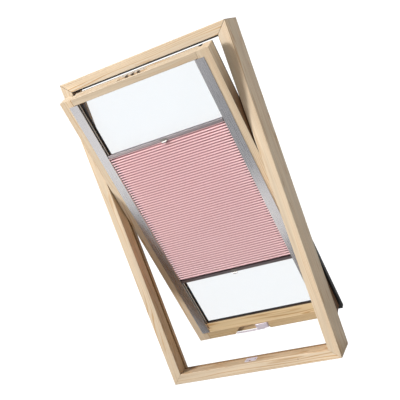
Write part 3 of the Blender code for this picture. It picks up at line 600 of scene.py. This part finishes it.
@dataclass(frozen=True)
class PleatedPolyester:
    """Woven polyester, pressed into pleats: dusty pink and matt.

    The back half of each fold is deeper in colour, a painted shade that draws the pleats as fine
    lines.
    The folds' backs carry a darker painted shade at both ends, beside the side rails, and a
    painted shade leaves the cloth lighter upwards than downwards.
    """

    fold_length: float
    name: str = "pleated_polyester"
    front: tuple[str, str] = ("F9D0D3", "FFDCDF")
    back: tuple[str, str] = ("BE8D90", "CC999C")
    thread_mm: float = 1.1
    weave: float = 0.2
    heights: Pair = (0.43, 1.05)
    tones: Pair = (0.82, 1.04)
    edge: float = 0.27
    edge_fold_shade: str = "4A3F38"
    edge_fold_shade_reach: float = 0.026

    def build(self) -> Material:
        """Returns the material."""
        made, shader = start_material(self.name, {
            "Roughness": 0.88, "Sheen Weight": 0.25, "Sheen Roughness": 0.5,
            "Specular IOR Level": 0.2})
        tree = made.node_tree
        flat = add_node(tree, "ShaderNodeUVMap", {"uv_map": "cloth"}).outputs["UV"]
        axes = split(tree, flat)
        # The UV map is in metres. Real threads are 0.3 mm; these are coarser so that they show
        threads = [wave(tree, axes[axis], self.thread_mm / 1000) for axis in "XY"]
        slubs = noise(tree, flat, scale=120.0, detail=3.0, dimensions="2D")
        height = calculate(tree, "MULTIPLY_ADD", calculate(tree, "MULTIPLY", *threads),
                           self.weave, slubs)
        # Painted shade on the back half of each fold
        behind = map_range(tree, wave(tree, axes["Y"], self.fold_length), (-0.35, 0.35))
        shades = [ramp(tree, height, [(0.3, low), (0.7, high)])
                  for low, high in (self.front, self.back)]
        # Painted shade, darker still, on the folds' backs at both ends, beside the side rails
        near = map_range(tree, sideways(tree), (self.edge - self.edge_fold_shade_reach, self.edge))
        ended = mix(tree, calculate(tree, "MULTIPLY", near, behind), mix(tree, behind, *shades),
                    self.edge_fold_shade, "MULTIPLY")
        # Painted shade that darkens the cloth downwards
        tone = map_range(tree, split(tree, object_place(tree))["Z"], self.heights, self.tones,
                         "LINEAR")
        tree.links.new(scale_colour(tree, ended, tone), shader.inputs["Base Color"])
        add_bump(tree, shader, height, strength=0.12, distance=0.0001)
        return made


def dress(look: Material, *nodes: str) -> None:
    """Gives CAD nodes a finish.

    Args:
        look: The finish.
        nodes: The nodes' names.
    """
    for node in nodes:
        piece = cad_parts[node]
        piece.data.materials.clear()
        piece.data.materials.append(look)
        LOG.info("dressed %s in %s", node, look.name)


class ShapeTree:
    """A Geometry Nodes tree with named inputs, run once and turned into a plain mesh."""

    def __init__(self, name: str, sizes: dict[str, float | int]) -> None:
        """Starts the tree.

        Args:
            name: The tree's name.
            sizes: Its inputs, whole numbers as integer sockets and others as float sockets.
        """
        self.tree = bpy.data.node_groups.new(name, "GeometryNodeTree")
        self.sizes = sizes
        self.keys = {}
        sockets = self.tree.interface
        sockets.new_socket("Geometry", in_out="INPUT", socket_type="NodeSocketGeometry")
        for label, value in sizes.items():
            kind = "NodeSocketInt" if isinstance(value, int) else "NodeSocketFloat"
            self.keys[label] = sockets.new_socket(label, in_out="INPUT",
                                                  socket_type=kind).identifier
        self.keys["Finish"] = sockets.new_socket("Finish", in_out="INPUT",
                                                 socket_type="NodeSocketMaterial").identifier
        sockets.new_socket("Geometry", in_out="OUTPUT", socket_type="NodeSocketGeometry")
        self.source = self.add("NodeGroupInput")

    def add(self, kind: str, settings: dict | None = None, inputs: dict | None = None) -> Node:
        """Adds a node to the tree."""
        return add_node(self.tree, kind, settings, inputs)

    def given(self, label: str) -> NodeSocket:
        """Returns the socket of a named input."""
        return self.source.outputs[label]

    def math(self, operation: str, *values: float | str | NodeSocket) -> NodeSocket:
        """Adds one calculation, in which a text stands for the input of that name."""
        return calculate(self.tree, operation, *(
            self.given(value) if isinstance(value, str) else value for value in values))

    def combine(self, **axes: float | NodeSocket) -> NodeSocket:
        """Returns the vector of the given X, Y and Z."""
        return self.add("ShaderNodeCombineXYZ", inputs=axes).outputs[0]

    def close(self, shape: NodeSocket) -> None:
        """Realizes the shape, gives it its finish and ends the tree."""
        whole = self.add("GeometryNodeRealizeInstances", inputs={"Geometry": shape})
        dressed = self.add("GeometryNodeSetMaterial", inputs={
            "Geometry": whole.outputs["Geometry"], "Material": self.given("Finish")})
        self.add("NodeGroupOutput", inputs={"Geometry": dressed.outputs["Geometry"]})

    def run(self, name: str, seed: Mesh, look: Material) -> Object:
        """Runs the tree on a mesh.

        Args:
            name: The new object's name.
            seed: The mesh that the tree starts from.
            look: The finish.

        Returns:
            A plain mesh object at the origin.
        """
        carrier = bpy.data.objects.new(f"{name}_carrier", seed)
        bpy.context.scene.collection.objects.link(carrier)
        modifier = carrier.modifiers.new("shape", "NODES")
        modifier.node_group = self.tree
        for label, value in {**self.sizes, "Finish": look}.items():
            modifier[self.keys[label]] = value
        bpy.context.view_layer.update()
        graph = bpy.context.evaluated_depsgraph_get()
        mesh = bpy.data.meshes.new_from_object(carrier.evaluated_get(graph))
        mesh.name = name
        bpy.data.objects.remove(carrier, do_unlink=True)
        made = bpy.data.objects.new(name, mesh)
        bpy.context.scene.collection.objects.link(made)
        return made


def keeper_slot_shade() -> tuple[Spot, ...]:
    """Returns painted shade in the mouths of the keeper's three slots, on the plate and the wood
    around them.
    """
    depth, height, radius = 0.034, 0.4165, 0.0085
    return tuple(Spot(tuple(SASH.point(x, depth, height)), radius, "2A1C14", 0.93)
                 for x in (-0.029, -0.001, 0.026))


@dataclass
class Woodwork:
    """The frame's four members and the sash's four, each a board of its own."""

    half: float = 0.39
    height: float = 1.398
    sill_knot: Triple = (0.209, ROOM_FACE, 0.026)
    knot_radius: float = 0.0026
    open_joint: float = 0.62
    close_joint: float = 0.2
    pocket_start: float = -0.154
    pocket_end: float = -0.044
    pocket_slant: float = 0.036
    pocket_floor: float = 0.0165
    pocket_back: float = 0.0315
    pocket_low: float = -0.8808
    pocket_top: float = -0.8462
    overlap: float = 0.0008

    def build(self) -> Object:
        """Dresses every wooden node and returns the sash's own bottom member."""
        for number, board in enumerate(self.boards(), 1):
            dress(board.build(number), board.node)
        return self.shape_sash_sill()

    def mitres(self) -> tuple[Mitre, Mitre, Mitre, Mitre]:
        """Returns the frame's mitres: low left, low right, top left and top right."""
        slant = math.sqrt(0.5)
        low, top = self.half * slant, (self.height - self.half) * slant
        return (Mitre(slant, -slant, -low, self.close_joint),
                Mitre(slant, slant, low, self.close_joint),
                Mitre(slant, slant, top, self.open_joint),
                Mitre(slant, -slant, -top, self.open_joint))

    def boards(self) -> list[LacqueredPine]:
        """Returns the frame's four boards and the sash's four."""
        across, upright = (-self.half, self.half), (0.0, self.height)
        low_left, low_right, top_left, top_right = self.mitres()
        knot = Spot(self.sill_knot, self.knot_radius)
        return [
            LacqueredPine("frame_head", Grain.ACROSS, (1.14, 0.98), across,
                          (top_left, top_right)),
            LacqueredPine("frame_sill", Grain.ACROSS, (0.78, 1.06), across,
                          (InnerPaintedShade("E6DCCE"), knot, low_left, low_right), honey="C79A63"),
            LacqueredPine("frame_jamb_left", Grain.UPRIGHT, (0.84, 1.12), upright,
                          (InnerPaintedShade("FFF0DC"), low_left, top_left)),
            LacqueredPine("frame_jamb_right", Grain.UPRIGHT, (0.93, 0.98), upright,
                          (low_right, top_right)),
            # The sash head carries painted shade around the keeper's slots
            LacqueredPine("sash_head", Grain.ACROSS, (0.99, 0.90), across, keeper_slot_shade()),
            LacqueredPine("sash_stile_left", Grain.ALONG_SASH, (0.90, 1.17), upright,
                          (StilePaintedShade(),)),
            LacqueredPine("sash_stile_right", Grain.ALONG_SASH, (1.05, 1.0), upright,
                          (StilePaintedShade(),)),
            LacqueredPine("sash_sill", Grain.ACROSS, (0.68, 0.80), across, pale="E8CB9E",
                          honey="C3955C")]

    def shape_sash_sill(self) -> Object:
        """Makes the sash's bottom member with a shallow finger pocket beside the lock case."""
        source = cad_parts["sash_sill"]
        member = bpy.data.objects.new("sash_bottom_member", self.merged(source.data))
        backing = bpy.data.objects.new("pocket_backing", self.pocket_backing())
        for piece in (member, backing):
            bpy.context.scene.collection.objects.link(piece)
        union = member.modifiers.new("pocket", "BOOLEAN")
        union.operation = "UNION"
        union.solver = "EXACT"
        union.object = backing
        graph = bpy.context.evaluated_depsgraph_get()
        shaped = bpy.data.meshes.new_from_object(member.evaluated_get(graph))
        member.modifiers.clear()
        member.data = shaped
        bpy.data.objects.remove(backing, do_unlink=True)
        for face in shaped.polygons:
            face.use_smooth = False
        shaped.materials.clear()
        shaped.materials.append(source.data.materials[0])
        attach(member, "sash")
        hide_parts("sash_sill")
        LOG.info("made %s", member.name)
        return member

    def merged(self, source: Mesh) -> Mesh:
        """Returns a copy of a node's mesh with its doubles merged."""
        shape = bmesh.new()
        shape.from_mesh(source)
        bmesh.ops.remove_doubles(shape, verts=shape.verts, dist=1e-6)
        copy = bpy.data.meshes.new("sash_bottom_member")
        shape.to_mesh(copy)
        shape.free()
        return copy

    def pocket_backing(self) -> Mesh:
        """Returns the wood behind the pull bar, in the pocket's own slanted outline."""
        start, top = self.pocket_start - self.overlap, self.pocket_top + self.overlap
        outline = [(start, self.pocket_low), (self.pocket_end, self.pocket_low),
                   (self.pocket_end, top), (start + self.pocket_slant, top)]
        shape = bmesh.new()
        face = shape.faces.new([shape.verts.new(SASH.point(x, self.pocket_floor, u))
                                for x, u in outline])
        made = bmesh.ops.extrude_face_region(shape, geom=[face])
        inward = SASH.matrix().to_3x3() @ Vector((0, self.pocket_back - self.pocket_floor, 0))
        moved = [item for item in made["geom"] if isinstance(item, bmesh.types.BMVert)]
        bmesh.ops.translate(shape, vec=inward, verts=moved)
        bmesh.ops.recalc_face_normals(shape, faces=shape.faces)
        mesh = bpy.data.meshes.new("pocket_backing")
        shape.to_mesh(mesh)
        shape.free()
        return mesh


@dataclass
class SealsAndGlass:
    """Frame seals, glazing gaskets, spacer bars and panes."""

    sides: tuple[str, ...] = ("head", "sill", "left", "right")

    def build(self) -> None:
        """Dresses the rubber, the spacers and the panes."""
        dress(GlazingRubber("seal_rubber", "2B211B", "40332A").build(), "head_seal")
        # The upper seals line the jambs' upper sides; their brown is the rubber's colour and also
        # painted shade on those sides
        dress(GlazingRubber("upper_lining_with_shade", "8F623C", "A27449").build(), "upper_seal_left",
              "upper_seal_right")
        dress(GlazingRubber("brown_seal_rubber", "86643F", "9A7850").build(), "sill_seal",
              "lower_seal_left", "lower_seal_right")
        dress(GlazingRubber("gasket_rubber", "3A281C", "523A2B").build(),
              *(f"gasket_{side}" for side in self.sides))
        dress(DrawnMetal("spacer_bronze", Grain.ALONG_SASH, "4A382C", "5E4A3C", 0.45).build(),
              *(f"spacer_{side}" for side in self.sides))
        dress(FloatGlass().build(), "inner_pane", "outer_pane")


@dataclass
class Covers:
    """Folded sheet on the sash's outer side."""

    nodes: tuple[str, ...] = (
        "sash_cover_head", "sash_cover_sill", "sash_cover_upper_left", "sash_cover_upper_right",
        "sash_cover_lower_left", "sash_cover_lower_right")

    def build(self) -> None:
        """Dresses the covers."""
        dress(PowderCoat().build(), *self.nodes)


@dataclass
class Hardware:
    """Hinge plates, latch parts, keeper, handle and their screws."""

    plates: tuple[str, ...] = ("frame_hinge_left", "frame_hinge_right", "sash_hinge_left",
                               "sash_hinge_right")
    fittings: tuple[str, ...] = ("strike_plate", "handle_case", "handle_lever", "latch_tongue")
    opening: float = 0.3451
    sash_half: float = 0.3412
    hinge_reach: Pair = (0.050, 0.036)
    strike: Triple = (-0.0085, 0.019, -0.0325)
    strike_sink: float = 0.0006
    keeper: Triple = (0.0475, 0.043, 0.4204)

    def build(self) -> None:
        """Dresses the metal fittings and adds their screws."""
        dress(DrawnMetal("zinc_plated_steel", Grain.UPRIGHT, "B9B8B6", "CFCECC", 0.34).build(),
              *self.plates)
        dress(MouldedPlastic("lilac_grey_lacquer", "DCD3DE", 0.42, 0.15).build(), *self.fittings)
        # The keeper plate carries painted shade at its slots' mouths
        dress(MouldedPlastic("pale_zinc_lacquer", "D9CFC4", 0.5, 0.2, keeper_slot_shade()).build(),
              "keeper_plate")
        screw = DrawnMetal("screw_steel", Grain.UPRIGHT, "8F8E8C", "A9A8A6", 0.3).build()
        ScrewSet("frame_screws", "frame", self.frame_seats()).build(screw)
        ScrewSet("sash_screws", "sash", self.sash_seats()).build(screw)

    def frame_seats(self) -> list[tuple[Vector, Vector]]:
        """Returns the places and directions of the frame's screws."""
        seats = []
        y = ROOM_FACE + PIVOT_DEPTH
        for sign in (-1, 1):
            for step in (-1, 1):
                place = Vector((sign * self.opening, y,
                                PIVOT_HEIGHT + step * self.hinge_reach[0]))
                seats.append((place, Vector((-sign, 0, 0))))
        centre, half, y = self.strike
        for sign in (-1, 1):
            seats.append((Vector((centre + sign * half, y, FACE_WIDTH - self.strike_sink)),
                          Vector((0, 0, 1))))
        return seats

    def sash_seats(self) -> list[tuple[Vector, Vector]]:
        """Returns the places and directions of the sash's screws."""
        turn = SASH.matrix().to_3x3()
        seats = []
        for sign in (-1, 1):
            for step in (-1, 1):
                place = SASH.point(sign * self.sash_half, PIVOT_DEPTH, step * self.hinge_reach[1])
                seats.append((place, Vector((sign, 0, 0))))
            x, depth, height = self.keeper
            seats.append((SASH.point(sign * x, depth, height), turn @ Vector((0, 0, 1))))
        return seats


@dataclass
class PleatedCloth:
    """One half of the pleated cloth, between the middle of the blind and a rail."""

    name: str
    body: str
    node: str
    low: float
    high: float
    rail_end: float
    middle: float
    front: float = 0.0004
    fold: float = 0.0165
    half_width: float = 0.2694
    pleats: int = 29
    steps: int = 10
    columns: int = 36
    crispness: float = 0.985
    sag: float = 0.0005

    def build(self, look: Material) -> Object:
        """Makes the half and bends it between the sash and its rail.

        Args:
            look: The cloth's material.

        Returns:
            The cloth's object.
        """
        made = self.shape().run(self.name, bpy.data.meshes.new(f"{self.name}_seed"), look)
        made.data.transform(SASH.matrix())
        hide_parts(self.node)
        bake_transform(made)
        LOG.info("made %s with %d pleats", self.name, self.pleats)
        return made

    def flat_length(self) -> float:
        """Returns the length of the cloth before it was pleated."""
        count = self.pleats * self.steps
        rise = (self.high - self.low) / count
        depths = [self.swing(2 * math.pi * self.pleats * i / count) * self.fold / 2
                  for i in range(count + 1)]
        return round(sum(math.hypot(b - a, rise) for a, b in zip(depths, depths[1:])), 3)

    def swing(self, phase: float) -> float:
        """Returns the fold's swing from -1 at its front to 1 at its back."""
        return math.asin(self.crispness * math.sin(phase)) / math.asin(self.crispness)

    def shape(self) -> ShapeTree:
        """Returns the tree that folds a flat grid into pleats, with a UV map in metres."""
        tree = ShapeTree("pleated_cloth", {
            "Half width": self.half_width, "Low end": self.low, "High end": self.high,
            "Pleats": self.pleats, "Fold": self.fold, "Front": self.front,
            "Crispness": self.crispness, "Flat length": self.flat_length(), "Sag": self.sag,
            "Columns": self.columns + 1, "Rows": self.pleats * self.steps + 1})
        grid = tree.add("GeometryNodeMeshGrid", inputs={
            "Size X": 1.0, "Size Y": 1.0, "Vertices X": tree.given("Columns"),
            "Vertices Y": tree.given("Rows")})
        place = split(tree.tree, tree.add("GeometryNodeInputPosition").outputs[0])
        across = tree.math("MULTIPLY", place["X"], tree.math("MULTIPLY", "Half width", 2.0))
        part = tree.math("ADD", place["Y"], 0.5)
        turns = tree.math("MULTIPLY", part, "Pleats")
        sine = tree.math("SINE", tree.math("MULTIPLY", turns, 2 * math.pi))
        # An arcsine of a sine is a zigzag, and the crispness keeps its folds slightly round
        sharp = tree.math("ARCSINE", tree.math("MULTIPLY", sine, "Crispness"))
        swing = tree.math("DIVIDE", sharp, tree.math("ARCSINE", "Crispness"))
        half_fold = tree.math("MULTIPLY", "Fold", 0.5)
        depth = tree.math("MULTIPLY_ADD", swing, half_fold, tree.math("ADD", "Front", half_fold))
        rise = tree.math("SUBTRACT", "High end", "Low end")
        level = tree.math("MULTIPLY_ADD", part, rise, "Low end")
        bend = tree.math("COSINE", tree.math("MULTIPLY", place["X"], math.pi))
        height = tree.math("SUBTRACT", level, tree.math("MULTIPLY", bend, "Sag"))
        travelled = tree.math("MULTIPLY", part, "Flat length")
        mapped = tree.add(
            "GeometryNodeStoreNamedAttribute", {"data_type": "FLOAT2", "domain": "CORNER"},
            {"Geometry": grid.outputs["Mesh"], "Name": "cloth",
             "Value": tree.combine(X=across, Y=travelled)})
        moved = tree.add("GeometryNodeSetPosition", inputs={
            "Geometry": mapped.outputs["Geometry"],
            "Position": tree.combine(X=across, Y=depth, Z=height)})
        smooth = tree.add("GeometryNodeSetShadeSmooth",
                          inputs={"Geometry": moved.outputs["Geometry"]})
        tree.close(smooth.outputs["Geometry"])
        return tree


@dataclass
class ScrewSet:
    """The screws of one body, with chamfered heads and a cross recess turned at random."""

    name: str
    body: str
    seats: list[tuple[Vector, Vector]]
    radius: float = 0.0034
    height: float = 0.0009
    corners: int = 12
    rim: float = 0.7
    slot: Pair = (0.95, 0.24)
    seed: int = 7

    def build(self, look: Material) -> Object:
        """Makes the heads and lets them ride their body.

        Args:
            look: The screws' material.

        Returns:
            The screws' object.
        """
        made = self.shape().run(self.name, self.points(), look)
        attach(made, self.body)
        LOG.info("made %s with %d screws", self.name, len(self.seats))
        return made

    def points(self) -> Mesh:
        """Returns a mesh of the screws' seats, with each one's turn as an attribute."""
        mesh = bpy.data.meshes.new(f"{self.name}_seats")
        mesh.from_pydata([tuple(place) for place, _ in self.seats], [], [])
        turns = mesh.attributes.new("turn", "FLOAT_VECTOR", "POINT")
        for item, (_, outward) in zip(turns.data, self.seats):
            item.vector = tuple(outward.to_track_quat("Z", "Y").to_euler())
        return mesh

    def shape(self) -> ShapeTree:
        """Returns the tree that sets a screw head on every seat."""
        tree = ShapeTree("screw_heads", {
            "Radius": self.radius, "Height": self.height, "Seed": self.seed})
        head = tree.add("GeometryNodeMeshCone", {"fill_type": "NGON"}, {
            "Vertices": self.corners, "Radius Top": tree.math("MULTIPLY", "Radius", self.rim),
            "Radius Bottom": tree.given("Radius"), "Depth": tree.given("Height")})
        long, short = (tree.math("MULTIPLY", "Radius", share) for share in self.slot)
        bars = [tree.add("GeometryNodeMeshCube", inputs={
            "Size": tree.combine(X=x, Y=y, Z=tree.given("Height"))})
            for x, y in ((long, short), (short, long))]
        cross = tree.add("GeometryNodeMeshBoolean", {"operation": "UNION", "solver": "EXACT"})
        for bar in bars:
            tree.tree.links.new(bar.outputs["Mesh"], cross.inputs["Mesh 2"])
        raised = tree.add("GeometryNodeTransform", inputs={
            "Geometry": cross.outputs["Mesh"],
            "Translation": tree.combine(Z=tree.given("Height"))})
        cut = tree.add("GeometryNodeMeshBoolean",
                       {"operation": "DIFFERENCE", "solver": "EXACT"}, {
                           "Mesh 1": head.outputs["Mesh"], "Mesh 2": raised.outputs["Geometry"]})
        turn = tree.add("GeometryNodeInputNamedAttribute", {"data_type": "FLOAT_VECTOR"},
                        {"Name": "turn"})
        facing = tree.add("FunctionNodeEulerToRotation",
                          inputs={"Euler": turn.outputs["Attribute"]})
        placed = tree.add("GeometryNodeInstanceOnPoints", inputs={
            "Points": tree.given("Geometry"), "Instance": cut.outputs["Mesh"],
            "Rotation": facing.outputs["Rotation"]})
        spin = tree.add("FunctionNodeRandomValue", {"data_type": "FLOAT"},
                        {"Max": math.pi, "Seed": tree.given("Seed")})
        spun = tree.add("GeometryNodeRotateInstances", inputs={
            "Instances": placed.outputs["Instances"],
            "Rotation": tree.combine(Z=spin.outputs["Value"])})
        tree.close(spun.outputs["Instances"])
        return tree


@dataclass
class Blind:
    """The pleated blind: side rails, moving rails, gliders, tabs, cords and cloth."""

    top: float = 0.1298
    bottom: float = -0.5306

    def build(self) -> list[Object]:
        """Dresses the rails, makes the cloth and returns it."""
        dress(DrawnMetal("anodised_side_rail", Grain.ALONG_SASH, "BBBBC0", "C9C9CE", 0.26, 0.88,
                         (FlankPaintedReflection(),)).build(), "side_rail_left", "side_rail_right")
        dress(DrawnMetal("anodised_moving_rail", Grain.ACROSS, "A0969A", "B6ACAE", 0.34,
                         0.9).build(), "top_rail")
        # The bottom rail has the top rail's anodising in a darker copy, which is painted shade
        dress(DrawnMetal("anodised_rail_shaded_copy", Grain.ACROSS, "8A7F82", "989092", 0.34,
                         0.9).build(), "bottom_rail")
        dress(MouldedPlastic("tab_silver_plastic", "8C8884", 0.3, 0.6).build(), "top_rail_tab",
              "bottom_rail_tab")
        dress(MouldedPlastic("glider_nylon", "4A4A4E", 0.45).build(), "top_glider_left",
              "top_glider_right", "bottom_glider_left", "bottom_glider_right")
        dress(MouldedPlastic("cord_nylon", "8E8171", 0.6).build(), "tension_cord_left",
              "tension_cord_right")
        middle = (self.top + self.bottom) / 2
        upper = PleatedCloth("cloth_upper", "top_rail", "fabric_upper", middle, self.top,
                             self.top, middle)
        lower = PleatedCloth("cloth_lower", "bottom_rail", "fabric_lower", self.bottom, middle,
                             self.bottom, middle)
        cloth = PleatedPolyester(fold_length=upper.flat_length() / upper.pleats).build()
        return [upper.build(cloth), lower.build(cloth)]


@dataclass
class Studio:
    """Camera, lights, world and floor."""

    place: Triple = (1.31414, -2.67278, 1.20071)
    right: Triple = (0.86580514, 0.36710583, -0.34002171)
    down: Triple = (-0.24839513, -0.27456655, -0.92893114)
    ahead: Triple = (-0.43437463, 0.8887331, -0.14653384)
    lens: float = 65.49
    key_direction: Triple = (1.25, 1.0, -1.05)
    key_power: float = 3.62
    key_softness: float = math.radians(14.0)
    blind_direction: Triple = (0.443, 0.767, -0.464)
    blind_power: float = 2.9
    fill: float = 0.39
    backdrop: float = 1.16
    side_direction: Triple = (-1.0, 0.1, -0.2)
    side_power: float = 0.3
    jamb_direction: Triple = (1.0, 1.9, -0.8)
    jamb_power: float = 2.29
    cards: tuple[Triple, ...] = ((-1.65, -1.7, 1.7), (-0.15, -0.55, 0.5))
    near_card_pieces: tuple[str, ...] = ("side_rail_right",)
    card_height: float = 0.04
    card_colour: str = "FFFAF2"
    floor_drop: float = 0.001
    floor_reach: float = 60.0
    floor_colour: str = "A8A8A8"
    blind_pieces: tuple[str, ...] = (
        "gasket_sill", "handle_case", "handle_lever", "latch_tongue", "tension_cord_left",
        "tension_cord_right", "top_rail", "top_rail_tab", "bottom_rail_tab")
    shaded_pieces: tuple[str, ...] = ("inner_pane", "outer_pane", "bottom_rail")

    def build(self, made: list[Object]) -> None:
        """Makes the camera, the lights and the floor.

        Args:
            made: The cloth and the bottom member, which the blind's own light reaches.
        """
        bpy.context.scene.view_settings.view_transform = "Standard"
        self.add_camera()
        self.add_lights(self.find(*self.blind_pieces) + made, self.find(*self.shaded_pieces))
        self.add_world()
        self.add_floor()

    def find(self, *nodes: str) -> list[Object]:
        """Returns CAD nodes by their names."""
        return [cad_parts[node] for node in nodes]

    def add_camera(self) -> None:
        """Adds the camera that was fitted to the photograph."""
        data = bpy.data.cameras.new("camera")
        data.lens = self.lens
        data.sensor_width = 36.0
        data.sensor_fit = "HORIZONTAL"
        data.clip_start = 0.05
        data.clip_end = 200.0
        camera = bpy.data.objects.new("camera", data)
        axes = Matrix((self.right, -Vector(self.down), -Vector(self.ahead))).transposed()
        camera.matrix_world = Matrix.Translation(self.place) @ axes.to_4x4()
        bpy.context.scene.collection.objects.link(camera)
        bpy.context.scene.camera = camera

    def add_sun(self, name: str, direction: Triple, power: float) -> Object:
        """Adds a soft key light.

        Args:
            name: The light's name.
            direction: Where its light goes.
            power: Its strength.

        Returns:
            The light's object.
        """
        sun = bpy.data.lights.new(name, "SUN")
        sun.energy = power
        sun.angle = self.key_softness
        key = bpy.data.objects.new(name, sun)
        key.rotation_euler = Vector(direction).normalized().to_track_quat("-Z", "Y").to_euler()
        bpy.context.scene.collection.objects.link(key)
        return key

    def add_lights(self, lit: list[Object], shaded: list[Object]) -> None:
        """Adds the window's, the blind's and the right jamb's keys, a side light and the cards.

        Args:
            lit: The pieces that the blind's key reaches and the window's doesn't.
            shaded: The pieces that neither of those two reaches.
        """
        near = self.find("frame_jamb_right")
        window_key = self.add_sun("window_key", self.key_direction, self.key_power)
        window_key.light_linking.receiver_collection = self.group(
            "apart", lit + shaded + near, False)
        blind_key = self.add_sun("blind_key", self.blind_direction, self.blind_power)
        blind_key.light_linking.receiver_collection = self.group("lit_by_blind_key", lit, True)
        blind_key.light_linking.blocker_collection = self.group("shades_blind_key", lit, True)
        side = self.add_sun("side_light", self.side_direction, self.side_power)
        far = self.find("frame_jamb_left")
        side.light_linking.receiver_collection = self.group("side_apart", far, False)
        jamb = self.add_sun("jamb_light", self.jamb_direction, self.jamb_power)
        jamb.light_linking.receiver_collection = self.group("lit_by_jamb_light", near, True)
        cards = [self.add_card(number, *card) for number, card in enumerate(self.cards, 1)]
        mirrors = self.find(*self.near_card_pieces)
        cards[-1].light_linking.receiver_collection = self.group("lit_by_near_card", mirrors, True)

    def add_card(self, number: int, x: float, y: float, size: float) -> Object:
        """Adds a pale card that shines up from near the floor.

        Args:
            number: The card's number.
            x: Its place from left to right.
            y: Its place from front to back.
            size: Its width.

        Returns:
            The card's object.
        """
        card = bpy.data.lights.new(f"floor_card_{number}", "AREA")
        card.size = size
        card.color = linear(self.card_colour)[:3]
        card.energy = math.pi * size ** 2
        placed = bpy.data.objects.new(card.name, card)
        placed.location = (x, y, self.card_height)
        placed.rotation_euler = (math.pi, 0.0, 0.0)
        placed.visible_camera = False
        bpy.context.scene.collection.objects.link(placed)
        return placed

    def group(self, name: str, pieces: list[Object], included: bool) -> Collection:
        """Groups pieces for one light.

        Args:
            name: The group's name.
            pieces: Its pieces.
            included: Whether the light reaches only them, or everything but them.

        Returns:
            The group.
        """
        made = bpy.data.collections.new(name)
        for piece in pieces:
            made.objects.link(piece)
        for item in made.collection_objects:
            item.light_linking.link_state = "INCLUDE" if included else "EXCLUDE"
        return made

    def add_world(self) -> None:
        """Adds a white surround, dimmer for what it lights than for the eye."""
        world = bpy.data.worlds.new("surround")
        world.use_nodes = True
        tree = world.node_tree
        tree.nodes.clear()
        path = add_node(tree, "ShaderNodeLightPath")
        strength = map_range(tree, path.outputs["Is Camera Ray"], (0.0, 1.0),
                             (self.fill, self.backdrop), "LINEAR")
        light = add_node(tree, "ShaderNodeBackground", inputs={
            "Color": linear("FFFFFF"), "Strength": strength})
        add_node(tree, "ShaderNodeOutputWorld", inputs={"Surface": light.outputs["Background"]})
        bpy.context.scene.world = world

    def add_floor(self) -> None:
        """Adds a plain pale floor just under the frame's sill."""
        shape = bmesh.new()
        bmesh.ops.create_grid(shape, x_segments=1, y_segments=1, size=self.floor_reach)
        mesh = bpy.data.meshes.new("floor")
        shape.to_mesh(mesh)
        shape.free()
        floor = bpy.data.objects.new("floor", mesh)
        floor.location.z = -self.floor_drop
        # Lit to white where the camera sees it, and dimmer in what it throws back
        look, shader = start_material("pale_floor", {
            "Roughness": 0.9, "Specular IOR Level": 0.0, "Emission Color": linear("FFFFFF")})
        tree = look.node_tree
        seen = add_node(tree, "ShaderNodeLightPath").outputs["Is Camera Ray"]
        tree.links.new(ramp(tree, seen, [(0.0, self.floor_colour), (1.0, "000000")]),
                       shader.inputs["Base Color"])
        tree.links.new(calculate(tree, "MULTIPLY", seen, self.backdrop),
                       shader.inputs["Emission Strength"])
        mesh.materials.append(look)
        bpy.context.scene.collection.objects.link(floor)


def main() -> None:
    """Builds and dresses every piece."""
    logging.basicConfig(level=logging.INFO, format="%(message)s")
    bottom_member = Woodwork().build()
    SealsAndGlass().build()
    Covers().build()
    Hardware().build()
    cloth = Blind().build()
    Studio().build([bottom_member, *cloth])


if __name__ == "__main__":
    main()
